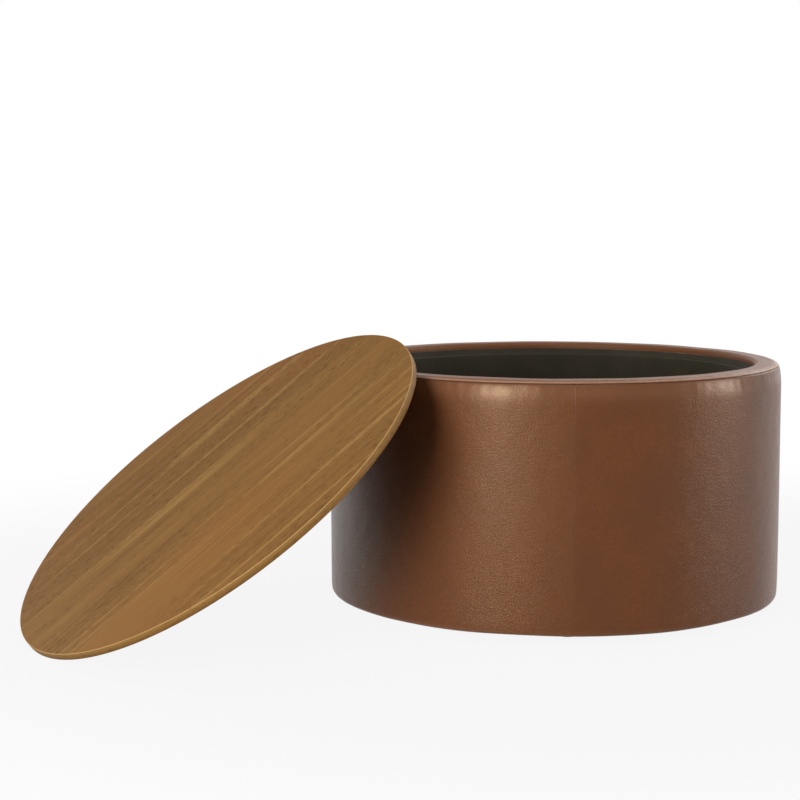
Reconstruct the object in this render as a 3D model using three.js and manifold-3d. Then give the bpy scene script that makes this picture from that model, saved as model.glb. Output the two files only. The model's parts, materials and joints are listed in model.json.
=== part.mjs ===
// Round storage ottoman: an upholstered drum with an open, lined top, and a loose round wooden lid
// that leans on the drum's rim with its lower edge on the floor.
// Millimetres, +Z up. The floor is Z = 0, the drum stands on the Z axis, and the lid leans on its -X side.
import * as THREE from 'three';
import { mergeVertices } from 'three/addons/utils/BufferGeometryUtils.js';
import Module from 'manifold-3d';

const wasm = await Module();
wasm.setup();

const DEGREE = Math.PI / 180;

// Clearances
const GAP = 0.3; // between neighbouring pieces
const HOLE_CLEARANCE = 0.3; // round a screw or a foot's stem, and past its end
const CLEAT_CLEARANCE = 4; // between the lid's cleats and the opening that they drop into

// The drum as a whole
const DRUM_RADIUS = 395;
const DRUM_HEIGHT = 428.5; // floor to the top of the rim
const OPENING_RADIUS = 350;
const RIM_OUTER_ROUND = 15;
const RIM_INNER_ROUND = 7;
const BOTTOM_ROUND = 6;

// Leather cover
const COVER_THICKNESS = 1.4;
const SEAM_DROP = 5; // top of the rim to the seam between the rim cover and the side cover
const RIM_WRAP = 11; // top of the rim to the cover's edge inside the opening
const TURN_UNDER = 50; // how far the side cover reaches in under the base
const SIDE_SEAM_ANGLE = 244.1 * DEGREE; // the first of the two upright seams, from +X towards +Y
const SIDE_SEAM_OPENING = 0.1 * DEGREE; // half the angle that a seam takes from each panel

// Frame of the drum
const WALL_BOARD = 3;
const WALL_FOAM = 10;
const BASE_THICKNESS = 12;
const TOP_RING_THICKNESS = 15;
const BATTEN_COUNT = 6;
const BATTEN_WIDTH = 45;

// Lining
const LEDGE_WIDTH = 8; // how far the lining stands in from the leather inside the opening
const LINING_THICKNESS = 1.2;
const LINER_BOARD = 3;
const LEDGE_DROP = 21.5; // top of the rim to the top edge of the lining
const LINING_LIP = 5; // how far the lining is turned down behind its board
const BAND_TUCK = 7; // how far the lining band reaches down behind that edge
const FLOOR_PANEL = 2.5;
const DUST_COVER = 0.8;
const DUST_COVER_INSET = 23; // from the drum's side

// Feet
const FOOT_COUNT = 6;
const FOOT_HEIGHT = 16;
const FOOT_RADIUS = 20;
const FOOT_TOP_RADIUS = 17;
const FOOT_CHAMFER = 1.5;
const FOOT_INSET = 95; // from the drum's side to the foot's middle
const FOOT_STEM_RADIUS = 4;
const FOOT_STEM_DEPTH = 8; // in the base board

// Lid
const LID_RADIUS = 389;
const LID_CORE = 10.2;
const LID_VENEER = 0.6;
const LID_EDGE_BAND = 1;
const LID_TILT = 37.3 * DEGREE; // between the leaning lid and the floor
const CLEAT_COUNT = 4;
const CLEAT_THICKNESS = 15;
const CLEAT_WIDTH = 22;
const CLEAT_LENGTH = 110;
const CLEAT_SCREW_SPACING = 70;

// Countersunk screws, plain where the real ones have a thread
const FRAME_SCREW = { headRadius: 4, headHeight: 2.5, headEdge: 0.5, shankRadius: 2, length: 38 };
const CLEAT_SCREW = { headRadius: 3.5, headHeight: 2.2, headEdge: 0.4, shankRadius: 1.6, length: 20.5 };

// Facets: every ring has the same count and phase, so the gap between two rings is the same all round
const RING_FACETS = 80;
const SCREW_FACETS = 8;
const FOOT_FACETS = 16;
const OUTER_ARC_FACETS = 4;
const INNER_ARC_FACETS = 2;
const CLEAT_FACETS = 4;

// Radii through the wall, from outside in
const coverInner = DRUM_RADIUS - COVER_THICKNESS;
const foamOuter = coverInner - GAP;
const foamInner = foamOuter - WALL_FOAM;
const wallOuter = foamInner - GAP;
const wallInner = wallOuter - WALL_BOARD;
const frameOuter = wallInner - GAP;
const frameInner = OPENING_RADIUS + COVER_THICKNESS + GAP;
const liningRadius = OPENING_RADIUS - LEDGE_WIDTH;
const linerInner = liningRadius + LINING_THICKNESS + GAP;
const linerOuter = linerInner + LINER_BOARD;

// Heights, from the floor up
const dustCoverBottom = FOOT_HEIGHT + GAP;
const coverBottom = dustCoverBottom + DUST_COVER + GAP;
const baseBottom = coverBottom + COVER_THICKNESS + GAP;
const baseTop = baseBottom + BASE_THICKNESS;
const floorPanelBottom = baseTop + GAP;
const liningFloorBottom = floorPanelBottom + FLOOR_PANEL + GAP;
const rimBase = DRUM_HEIGHT - RIM_OUTER_ROUND;
const ringTop = rimBase - GAP;
const ringBottom = ringTop - TOP_RING_THICKNESS;
const ledge = DRUM_HEIGHT - LEDGE_DROP;

// Lid layers, from its underside up, in the lid's own frame
const coreBottom = LID_VENEER + GAP;
const topVeneerBottom = coreBottom + LID_CORE + GAP;
const lidThickness = topVeneerBottom + LID_VENEER;
const lidInnerRadius = LID_RADIUS - LID_EDGE_BAND - GAP;

const FINISHES = {
  leather: { color: 0x6a422b, roughness: 0.5 },
  lining: { color: 0x2c2820, roughness: 0.95 },
  foam: { color: 0xd8cfae, roughness: 0.95 },
  board: { color: 0x8a6a48, roughness: 0.85 },
  plywood: { color: 0xc4a377, roughness: 0.75 },
  veneer: { color: 0x8b683d, roughness: 0.5 },
  plastic: { color: 0x1c1c1c, roughness: 0.6 },
  steel: { color: 0xa9a9a4, roughness: 0.35, metalness: 1 },
};

function place(radius, angle) {
  return [radius * Math.cos(angle), radius * Math.sin(angle)];
}

// Points of an arc in a profile, from one angle to another, both ends included.
function arc(centre, radius, from, to, facets) {
  return Array.from({ length: facets + 1 }, (_, i) => {
    const angle = from + ((to - from) * i) / facets;
    return [centre[0] + radius * Math.cos(angle), centre[1] + radius * Math.sin(angle)];
  });
}

function toVectors(points) {
  return points.map(([x, y]) => new THREE.Vector2(x, y));
}

// Turns a profile of [radius, height] points about Z. An anticlockwise profile faces outwards.
function turn(profile, facets, from = 0, sweep = 2 * Math.PI) {
  const lathe = new THREE.LatheGeometry(toVectors(profile), facets, from + Math.PI / 2, sweep);
  return lathe.rotateX(Math.PI / 2);
}

// A ring whose closed profile is turned all the way round.
function ring(profile) {
  return turn([...profile, profile[0]], RING_FACETS);
}

function tube(innerRadius, outerRadius, bottom, top) {
  return ring([[innerRadius, bottom], [outerRadius, bottom], [outerRadius, top], [innerRadius, top]]);
}

function disc(radius, bottom, top, facets = RING_FACETS) {
  return turn([[0, bottom], [radius, bottom], [radius, top], [0, top]], facets);
}

// A panel bent round Z: the closed profile turned from one angle to another. Both ends are closed with
// the sides' own corners, so that no crack is left along them.
function bentPanel(profile, from, to, facets) {
  const panel = turn([...profile, profile[0]], facets, from, to - from);
  const lastColumn = facets * (profile.length + 1);
  const faces = THREE.ShapeUtils.triangulateShape(toVectors(profile), []);
  const startCap = faces.flat();
  const endCap = faces.flatMap(([a, b, c]) => [lastColumn + c, lastColumn + b, lastColumn + a]);
  panel.setIndex([...panel.index.array, ...startCap, ...endCap]);
  return panel;
}

function toSolid(geometry) {
  const bare = geometry.clone();
  bare.deleteAttribute('normal');
  bare.deleteAttribute('uv');
  const merged = mergeVertices(bare, 1e-3);
  const corners = merged.index.array;
  const triangles = [];
  for (let i = 0; i < corners.length; i += 3) {
    const [a, b, c] = corners.slice(i, i + 3);
    if (a !== b && b !== c && c !== a) triangles.push(a, b, c);
  }
  const vertProperties = new Float32Array(merged.attributes.position.array);
  return new wasm.Manifold(new wasm.Mesh({ numProp: 3, vertProperties, triVerts: new Uint32Array(triangles) }));
}

function cut(geometry, cutters) {
  const solid = cutters.reduce((left, cutter) => left.subtract(toSolid(cutter)), toSolid(geometry));
  const mesh = solid.getMesh();
  const result = new THREE.BufferGeometry();
  result.setAttribute('position', new THREE.BufferAttribute(mesh.vertProperties, 3));
  result.setIndex(new THREE.BufferAttribute(mesh.triVerts, 1));
  result.computeVertexNormals();
  return result;
}

const ottoman = new THREE.Group();
const drum = new THREE.Group(); // turned about Z, so that its own +X is at the first upright seam
const lid = new THREE.Group();

function add(group, name, geometry, finish, position = [0, 0, 0], angle = 0) {
  const mesh = new THREE.Mesh(geometry, new THREE.MeshStandardMaterial(FINISHES[finish]));
  mesh.name = name;
  mesh.position.set(...position);
  mesh.rotation.z = angle;
  group.add(mesh);
}

// A screw with its head's flat face at Z = 0 and its shank down -Z. Grown, it cuts its own hole.
function screw(size, grow = 0) {
  const head = size.headRadius + grow;
  const shank = size.shankRadius + grow;
  const profile = [
    [0, -size.length - grow],
    [shank, -size.length - grow],
    [shank, -size.headHeight - grow],
    [head, -size.headEdge - grow],
    [head, 2 * grow],
    [0, 2 * grow],
  ];
  return turn(profile, SCREW_FACETS);
}

function screwHole(size, position, upsideDown) {
  const hole = screw(size, HOLE_CLEARANCE);
  return (upsideDown ? hole.rotateX(Math.PI) : hole).translate(...position);
}

// Places where battens stand and feet are fixed
const battenAngles = Array.from({ length: BATTEN_COUNT }, (_, i) => ((i + 0.5) * 2 * Math.PI) / BATTEN_COUNT);
const footAngles = Array.from({ length: FOOT_COUNT }, (_, i) => (i * 2 * Math.PI) / FOOT_COUNT);
const footPlaces = [[0, 0], ...footAngles.map((angle) => place(DRUM_RADIUS - FOOT_INSET, angle))];

const battenInner = linerOuter + GAP;
const flatOfFrame = (frameOuter - GAP) * Math.cos(Math.PI / RING_FACETS);
const battenOuter = Math.sqrt(flatOfFrame ** 2 - (BATTEN_WIDTH / 2) ** 2);
const battenMiddle = (battenInner + battenOuter) / 2;
const battenPlaces = battenAngles.map((angle) => place(battenMiddle, angle));

// The foot's own frame has the floor at Z = 0.
const footStemTop = baseBottom + FOOT_STEM_DEPTH;

function foot() {
  return turn(
    [
      [0, 0],
      [FOOT_RADIUS - FOOT_CHAMFER, 0],
      [FOOT_RADIUS, FOOT_CHAMFER],
      [FOOT_TOP_RADIUS, FOOT_HEIGHT],
      [FOOT_STEM_RADIUS, FOOT_HEIGHT],
      [FOOT_STEM_RADIUS, footStemTop],
      [0, footStemTop],
    ],
    FOOT_FACETS,
  );
}

function stemHole([x, y], bottom) {
  const radius = FOOT_STEM_RADIUS + HOLE_CLEARANCE;
  return disc(radius, bottom, footStemTop + HOLE_CLEARANCE, FOOT_FACETS).translate(x, y, 0);
}

function addFeet() {
  footPlaces.forEach(([x, y], i) => {
    add(drum, i === 0 ? 'foot_centre' : `foot_${i}`, foot(), 'plastic', [x, y, 0]);
  });
}

function addBase() {
  const below = baseBottom - GAP;
  const screwHeight = baseBottom + GAP;
  const cutters = [
    ...footPlaces.map((point) => stemHole(point, below)),
    ...battenPlaces.map(([x, y]) => screwHole(FRAME_SCREW, [x, y, screwHeight], true)),
  ];
  add(drum, 'base_board', cut(disc(frameOuter, baseBottom, baseTop), cutters), 'plywood');
  const sheet = disc(DRUM_RADIUS - DUST_COVER_INSET, dustCoverBottom, dustCoverBottom + DUST_COVER);
  const openings = footPlaces.map((point) => stemHole(point, FOOT_HEIGHT));
  add(drum, 'dust_cover', cut(sheet, openings), 'lining');
}

// Six upright battens between the base board and the top ring, each with a screw at both ends.
function addFrame() {
  const bottom = baseTop + GAP;
  const top = ringBottom - GAP;
  const lowScrew = baseBottom + GAP;
  const highScrew = ringTop - GAP;
  const depth = battenOuter - battenInner;
  const size = [depth, BATTEN_WIDTH, top - bottom];
  const block = new THREE.BoxGeometry(...size).translate(battenMiddle, 0, (bottom + top) / 2);
  const batten = cut(block, [
    screwHole(FRAME_SCREW, [battenMiddle, 0, lowScrew], true),
    screwHole(FRAME_SCREW, [battenMiddle, 0, highScrew], false),
  ]);
  battenAngles.forEach((angle, i) => {
    const [x, y] = battenPlaces[i];
    add(drum, `batten_${i + 1}`, batten, 'plywood', [0, 0, 0], angle);
    add(drum, `base_screw_${i + 1}`, screw(FRAME_SCREW).rotateX(Math.PI), 'steel', [x, y, lowScrew]);
    add(drum, `ring_screw_${i + 1}`, screw(FRAME_SCREW), 'steel', [x, y, highScrew]);
  });
  const holes = battenPlaces.map(([x, y]) => screwHole(FRAME_SCREW, [x, y, highScrew], false));
  add(drum, 'top_ring', cut(tube(frameInner, frameOuter, ringBottom, ringTop), holes), 'plywood');
  add(drum, 'outer_wall', tube(wallInner, wallOuter, baseBottom, ringTop), 'board');
}

function addFoam() {
  const bottom = coverBottom + BOTTOM_ROUND;
  add(drum, 'wall_foam', tube(foamInner, foamOuter, bottom, ringTop), 'foam');
  const inset = COVER_THICKNESS + GAP;
  const outerCentre = [DRUM_RADIUS - RIM_OUTER_ROUND, rimBase];
  const innerCentre = [OPENING_RADIUS + RIM_INNER_ROUND, DRUM_HEIGHT - RIM_INNER_ROUND];
  const outerRound = arc(outerCentre, RIM_OUTER_ROUND - inset, 0, Math.PI / 2, OUTER_ARC_FACETS);
  const innerRound = arc(innerCentre, RIM_INNER_ROUND - inset, Math.PI / 2, Math.PI, INNER_ARC_FACETS);
  add(drum, 'rim_foam', ring([[frameInner, rimBase], ...outerRound, ...innerRound]), 'foam');
}

// Leather over the rim, from the seam outside, over the top and down inside the opening.
function rimCover() {
  const outerCentre = [DRUM_RADIUS - RIM_OUTER_ROUND, rimBase];
  const innerCentre = [OPENING_RADIUS + RIM_INNER_ROUND, DRUM_HEIGHT - RIM_INNER_ROUND];
  const seam = Math.asin((RIM_OUTER_ROUND - SEAM_DROP) / RIM_OUTER_ROUND);
  const edge = DRUM_HEIGHT - RIM_WRAP;
  const thin = COVER_THICKNESS;
  const top = Math.PI / 2;
  return ring([
    ...arc(outerCentre, RIM_OUTER_ROUND, seam, top, OUTER_ARC_FACETS - 2),
    ...arc(innerCentre, RIM_INNER_ROUND, top, Math.PI, INNER_ARC_FACETS),
    [OPENING_RADIUS, edge],
    [OPENING_RADIUS + thin, edge],
    ...arc(innerCentre, RIM_INNER_ROUND - thin, Math.PI, top, INNER_ARC_FACETS),
    ...arc(outerCentre, RIM_OUTER_ROUND - thin, top, seam, OUTER_ARC_FACETS - 2),
  ]);
}

// Leather of the side: from the seam below the rim, down the wall and in under the base.
function sideProfile() {
  const rimCentre = [DRUM_RADIUS - RIM_OUTER_ROUND, rimBase];
  const lowCentre = [DRUM_RADIUS - BOTTOM_ROUND, coverBottom + BOTTOM_ROUND];
  const thin = COVER_THICKNESS;
  const seam = Math.asin((RIM_OUTER_ROUND - SEAM_DROP) / RIM_OUTER_ROUND) - GAP / RIM_OUTER_ROUND;
  const flap = DRUM_RADIUS - TURN_UNDER;
  const down = -Math.PI / 2;
  return [
    [flap, coverBottom],
    ...arc(lowCentre, BOTTOM_ROUND, down, 0, INNER_ARC_FACETS),
    ...arc(rimCentre, RIM_OUTER_ROUND, 0, seam, OUTER_ARC_FACETS - 2),
    ...arc(rimCentre, RIM_OUTER_ROUND - thin, seam, 0, OUTER_ARC_FACETS - 2),
    ...arc(lowCentre, BOTTOM_ROUND - thin, 0, down, INNER_ARC_FACETS),
    [flap, coverBottom + thin],
  ];
}

function addCovers() {
  add(drum, 'rim_cover', rimCover(), 'leather');
  ['side_cover_front', 'side_cover_back'].forEach((name, i) => {
    const panel = bentPanel(sideProfile(), SIDE_SEAM_OPENING, Math.PI - SIDE_SEAM_OPENING, RING_FACETS / 2);
    add(drum, name, panel, 'leather', [0, 0, 0], i * Math.PI);
  });
}

// Fabric on a board sleeve, turned over its top edge, a fabric band above it and a lined floor.
function addLining() {
  const bottom = baseTop + GAP;
  const boardTop = ledge - LINING_THICKNESS - GAP;
  const lipInner = linerOuter + GAP;
  add(drum, 'liner_board', tube(linerInner, linerOuter, bottom, boardTop), 'board');
  const wall = ring([
    [liningRadius, bottom],
    [liningRadius + LINING_THICKNESS, bottom],
    [liningRadius + LINING_THICKNESS, ledge - LINING_THICKNESS],
    [lipInner, ledge - LINING_THICKNESS],
    [lipInner, ledge - LINING_LIP],
    [lipInner + LINING_THICKNESS, ledge - LINING_LIP],
    [lipInner + LINING_THICKNESS, ledge],
    [liningRadius, ledge],
  ]);
  add(drum, 'lining_wall', wall, 'lining');
  const bandTop = DRUM_HEIGHT - RIM_WRAP - GAP;
  const bandOuter = OPENING_RADIUS + COVER_THICKNESS;
  const band = tube(bandOuter - LINING_THICKNESS, bandOuter, ledge - BAND_TUCK, bandTop);
  add(drum, 'lining_band', band, 'lining');
  const floorRadius = liningRadius - GAP;
  const liningFloorTop = liningFloorBottom + LINING_THICKNESS;
  add(drum, 'floor_panel', disc(floorRadius, floorPanelBottom, floorPanelBottom + FLOOR_PANEL), 'board');
  add(drum, 'lining_floor', disc(floorRadius, liningFloorBottom, liningFloorTop), 'lining');
}

// A curved block under the lid, in the lid's frame and centred on +X, that drops into the opening.
const cleatOuter = OPENING_RADIUS - CLEAT_CLEARANCE;
const cleatMiddle = cleatOuter - CLEAT_WIDTH / 2;
const cleatAngles = Array.from({ length: CLEAT_COUNT }, (_, i) => ((i + 0.5) * 2 * Math.PI) / CLEAT_COUNT);
const screwOffset = CLEAT_SCREW_SPACING / 2 / cleatMiddle;
const cleatScrewAngles = cleatAngles.flatMap((angle) => [angle - screwOffset, angle + screwOffset]);
const cleatBottom = -GAP - CLEAT_THICKNESS;
const cleatScrewHeight = cleatBottom + GAP;

function cleatBlock() {
  const half = CLEAT_LENGTH / 2 / cleatMiddle;
  const outline = [
    ...arc([0, 0], cleatOuter, -half, half, CLEAT_FACETS),
    ...arc([0, 0], cleatOuter - CLEAT_WIDTH, half, -half, CLEAT_FACETS),
  ];
  const shape = new THREE.Shape(toVectors(outline));
  const block = new THREE.ExtrudeGeometry(shape, { depth: CLEAT_THICKNESS, bevelEnabled: false });
  const holes = [-screwOffset, screwOffset].map((angle) => {
    return screwHole(CLEAT_SCREW, [...place(cleatMiddle, angle), cleatScrewHeight], true);
  });
  return cut(block.translate(0, 0, cleatBottom), holes);
}

function addLid() {
  const screwPlaces = cleatScrewAngles.map((angle) => [...place(cleatMiddle, angle), cleatScrewHeight]);
  const holes = screwPlaces.map((position) => screwHole(CLEAT_SCREW, position, true));
  const core = cut(disc(lidInnerRadius, coreBottom, coreBottom + LID_CORE), holes);
  const back = cut(disc(lidInnerRadius, 0, LID_VENEER), holes);
  add(lid, 'lid_core', core, 'board');
  add(lid, 'lid_back_veneer', back, 'veneer');
  add(lid, 'lid_top_veneer', disc(lidInnerRadius, topVeneerBottom, lidThickness), 'veneer');
  add(lid, 'lid_edge_band', tube(LID_RADIUS - LID_EDGE_BAND, LID_RADIUS, 0, lidThickness), 'veneer');
  cleatAngles.forEach((angle, i) => {
    add(lid, `lid_cleat_${i + 1}`, cleatBlock(), 'plywood', [0, 0, 0], angle);
  });
  screwPlaces.forEach((position, i) => {
    add(lid, `cleat_screw_${i + 1}`, screw(CLEAT_SCREW).rotateX(Math.PI), 'steel', position);
  });
}

// The lid's lower edge stands on the floor and its underside lies on the rim's rounded outer edge.
function leanLid() {
  const normal = [-Math.sin(LID_TILT), Math.cos(LID_TILT)];
  const round = [-(DRUM_RADIUS - RIM_OUTER_ROUND), rimBase];
  const reach = normal[0] * round[0] + normal[1] * round[1] + RIM_OUTER_ROUND + GAP;
  const height = LID_RADIUS * Math.sin(LID_TILT);
  lid.position.set((reach - normal[1] * height) / normal[0], 0, height);
  lid.rotation.y = -LID_TILT;
}

addFeet();
addBase();
addFrame();
addFoam();
addCovers();
addLining();
addLid();
leanLid();
drum.rotation.z = SIDE_SEAM_ANGLE;
ottoman.add(drum, lid);

export default ottoman;
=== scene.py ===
"""Looks of the round storage ottoman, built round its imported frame.

The drum has a leather cover over foam, a dark fabric lining and plastic feet. The loose lid is a
wood-veneered panel with cleats under it. Lengths are in metres, in the frame's own axes: +Z is up
and the lid leans on the drum's -X side.
"""

import json
import logging
import math
from collections.abc import Callable, Sequence
from dataclasses import dataclass, field
from enum import Enum

import bmesh
import bpy
import numpy as np
from mathutils import Matrix, Vector


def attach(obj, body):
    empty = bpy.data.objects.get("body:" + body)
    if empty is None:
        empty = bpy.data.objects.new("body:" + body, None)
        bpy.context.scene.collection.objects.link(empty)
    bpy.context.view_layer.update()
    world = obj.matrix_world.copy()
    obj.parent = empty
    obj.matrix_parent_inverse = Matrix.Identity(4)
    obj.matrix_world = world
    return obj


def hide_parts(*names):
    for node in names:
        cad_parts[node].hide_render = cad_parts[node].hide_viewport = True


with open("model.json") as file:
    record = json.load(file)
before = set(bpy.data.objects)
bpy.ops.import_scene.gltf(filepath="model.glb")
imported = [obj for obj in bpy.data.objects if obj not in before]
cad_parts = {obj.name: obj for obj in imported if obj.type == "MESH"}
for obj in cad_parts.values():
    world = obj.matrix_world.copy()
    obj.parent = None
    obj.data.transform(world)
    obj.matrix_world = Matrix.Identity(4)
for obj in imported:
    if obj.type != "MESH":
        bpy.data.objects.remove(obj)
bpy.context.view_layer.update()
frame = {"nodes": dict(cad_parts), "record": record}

MM = 0.001
SAME_POINT = 0.001 * MM
LOG = logging.getLogger("ottoman")

Point = tuple[float, float]
Profile = list[Point]
Colour = tuple[float, float, float, float]
Grid = np.ndarray
Relief = Callable[[Grid, Grid, Grid], Grid]

WHITE: Colour = (1.0, 1.0, 1.0, 1.0)


class Body(Enum):
    """Bodies of the frame that a piece can ride on."""

    DRUM = "drum"
    LID = "lid"


class Slot(Enum):
    """Material slots of the record."""

    LEATHER = "leather"
    LINING = "lining"
    DUST_COVER = "dust_cover"
    FOAM = "foam"
    FRAME_WOOD = "frame_wood"
    HARDBOARD = "hardboard"
    LID_CORE = "lid_core"
    VENEER = "veneer"
    FEET = "feet"
    SCREWS = "screws"


def lid_axes() -> Matrix:
    """Returns the lid's own axes: X up its slope, Z out of its top, and its origin under its middle."""
    mount = next(m for m in frame["record"]["mounts"] if m["name"] == "lid_top")
    normal = Vector(mount["axis"]).normalized()
    slope = Vector((normal.z, 0.0, -normal.x))
    turn = Matrix((slope, normal.cross(slope), normal)).transposed().to_4x4()
    corners = [turn.inverted() @ vertex.co for vertex in frame["nodes"]["lid_edge_band"].data.vertices]
    thickness = max(corner.z for corner in corners) - min(corner.z for corner in corners)
    return Matrix.Translation(Vector(mount["pos_m"]) - normal * thickness) @ turn


SEAM_ANGLE = math.radians(244.1)
LID_AXES = lid_axes()
LID_TILT = math.atan2(LID_AXES[2][0], LID_AXES[0][0])


def paint(red: int, green: int, blue: int) -> Colour:
    """Turns a colour given as 0 to 255 display values into the linear values that shaders take.

    Args:
        red: Display red.
        green: Display green.
        blue: Display blue.

    Returns:
        Linear red, green, blue and an alpha of 1.
    """
    shares = [channel / 255 for channel in (red, green, blue)]
    linear = [s / 12.92 if s <= 0.04045 else ((s + 0.055) / 1.055) ** 2.4 for s in shares]
    return (*linear, 1.0)


# ---------------------------------------------------------------------------------------------
# Node trees


class Value:
    """A node socket that can stand in a Python expression, which adds the Math nodes for it."""

    def __init__(self, graph: "Graph", socket: bpy.types.NodeSocket) -> None:
        """Wraps a socket of a graph."""
        self.graph = graph
        self.socket = socket

    def math(self, operation: str, *others: "Value | float", clamp: bool = False) -> "Value":
        """Adds a Math node whose first input is this value.

        Args:
            operation: The Math node's operation.
            others: Its other inputs.
            clamp: Whether the result is kept from 0 to 1.

        Returns:
            The node's result.
        """
        settings = {"operation": operation, "use_clamp": clamp}
        inputs = dict(enumerate((self, *others)))
        return self.graph.out("ShaderNodeMath", settings, inputs)

    def __add__(self, other: "Value | float") -> "Value":
        """Returns self + other."""
        return self.math("ADD", other)

    __radd__ = __add__

    def __mul__(self, other: "Value | float") -> "Value":
        """Returns self * other."""
        return self.math("MULTIPLY", other)

    __rmul__ = __mul__

    def __sub__(self, other: "Value | float") -> "Value":
        """Returns self - other."""
        return self.math("SUBTRACT", other)

    def __rsub__(self, other: float) -> "Value":
        """Returns other - self."""
        return (self * -1.0) + other

    def __truediv__(self, other: "Value | float") -> "Value":
        """Returns self / other."""
        return self.math("DIVIDE", other)

    def __pow__(self, other: float) -> "Value":
        """Returns self raised to a power."""
        return self.math("POWER", other)

    def ramp(self, low: float, high: float) -> "Value":
        """Rises smoothly from 0, where this value is low, to 1, where it is high."""
        settings = {"interpolation_type": "SMOOTHSTEP"}
        inputs = {"Value": self, "From Min": low, "From Max": high}
        return self.graph.out("ShaderNodeMapRange", settings, inputs)


class Graph:
    """A node tree that is filled by code, for a material, a world or a modifier."""

    def __init__(self, tree: bpy.types.NodeTree) -> None:
        """Takes over a node tree and empties it."""
        self.tree = tree
        tree.nodes.clear()

    def node(
        self, kind: str, settings: dict | None = None, inputs: dict | None = None
    ) -> bpy.types.Node:
        """Adds a node.

        Args:
            kind: The node's type.
            settings: Its properties, set before its inputs.
            inputs: Values or links of its sockets, by name or number.

        Returns:
            The new node.
        """
        made = self.tree.nodes.new(kind)
        for key, setting in (settings or {}).items():
            setattr(made, key, setting)
        for key, given in (inputs or {}).items():
            if isinstance(given, Value):
                self.tree.links.new(given.socket, made.inputs[key])
            else:
                made.inputs[key].default_value = given
        return made

    def value(self, node: bpy.types.Node, output: str | int = 0) -> Value:
        """Returns one output of a node as a value."""
        return Value(self, node.outputs[output])

    def out(
        self,
        kind: str,
        settings: dict | None = None,
        inputs: dict | None = None,
        output: str | int = 0,
    ) -> Value:
        """Adds a node, as node does, and returns one of its outputs as a value."""
        return self.value(self.node(kind, settings, inputs), output)

    def place(self, scale: Sequence[float], turn: Sequence[float] = (), uv: bool = False) -> Value:
        """Gives the pattern coordinates of a piece.

        Args:
            scale: How many pattern units there are to a metre, along each axis.
            turn: How far the pattern is turned about X, Y and Z first, in radians.
            uv: Whether the piece's UV map is used, which is in metres, and not its own axes.

        Returns:
            The coordinates.
        """
        where = self.out("ShaderNodeTexCoord", output="UV" if uv else "Object")
        if turn:
            where = self.out("ShaderNodeMapping", None, {"Vector": where, "Rotation": turn})
        return self.out("ShaderNodeMapping", None, {"Vector": where, "Scale": scale})

    def attribute(self, name: str) -> Value:
        """Reads a number that a piece's mesh holds at each point, or 0 where it holds none."""
        return self.out("ShaderNodeAttribute", {"attribute_name": name}, output="Fac")

    def noise(
        self, place: Value, detail: float = 2.0, roughness: float = 0.5, distortion: float = 0.0
    ) -> Value:
        """Adds a noise pattern, from 0 to 1 and about 0.5 on average, with one blob to a unit."""
        inputs = {
            "Vector": place,
            "Scale": 1.0,
            "Detail": detail,
            "Roughness": roughness,
            "Distortion": distortion,
        }
        return self.out("ShaderNodeTexNoise", None, inputs, output="Fac")

    def cells(self, place: Value, feature: str, smoothness: float = 0.0) -> Value:
        """Adds a cell pattern with one cell to a unit: the distance from a cell's middle or its edge."""
        inputs = {"Vector": place, "Scale": 1.0}
        if feature == "SMOOTH_F1":
            inputs["Smoothness"] = smoothness
        return self.out("ShaderNodeTexVoronoi", {"feature": feature}, inputs, output="Distance")

    def mix(self, share: Value | float, first: Value | Colour, second: Value | Colour) -> Value:
        """Mixes two colours.

        Args:
            share: How much of the second colour there is.
            first: A colour.
            second: The colour mixed into it.

        Returns:
            The mixed colour.
        """
        inputs = {0: share, 6: first, 7: second}
        return self.out("ShaderNodeMix", {"data_type": "RGBA"}, inputs, output=2)

    def bump(
        self, height: Value, distance: float, strength: float, normal: Value | None = None
    ) -> Value:
        """Turns a height into a normal.

        Args:
            height: The pattern's height, from 0 to 1.
            distance: The height of 1, in metres.
            strength: How much of the bump shows.
            normal: A bump that this one lies on.

        Returns:
            The normal.
        """
        inputs = {"Height": height, "Distance": distance, "Strength": strength}
        if normal is not None:
            inputs["Normal"] = normal
        return self.out("ShaderNodeBump", None, inputs)


@dataclass(frozen=True)
class Finish:
    """A surface finish. Each kind adds its own pattern in shade."""

    name: str
    colour: Colour
    roughness: float = 0.6

    def material(self) -> bpy.types.Material:
        """Makes the finish's material, once.

        Returns:
            The material.
        """
        known = bpy.data.materials.get(self.name)
        if known:
            return known
        made = bpy.data.materials.new(self.name)
        made.use_nodes = True
        graph = Graph(made.node_tree)
        shader = graph.node("ShaderNodeBsdfPrincipled", None, self.constants())
        for socket, value in self.shade(graph).items():
            graph.tree.links.new(value.socket, shader.inputs[socket])
        output = graph.node("ShaderNodeOutputMaterial")
        graph.tree.links.new(shader.outputs["BSDF"], output.inputs["Surface"])
        return made

    def constants(self) -> dict:
        """Returns the shader values that are the same all over the surface."""
        return {"Base Color": self.colour, "Roughness": self.roughness}

    def shade(self, graph: Graph) -> dict[str, Value]:
        """Returns the pattern that drives each shader socket."""
        raise NotImplementedError


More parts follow.
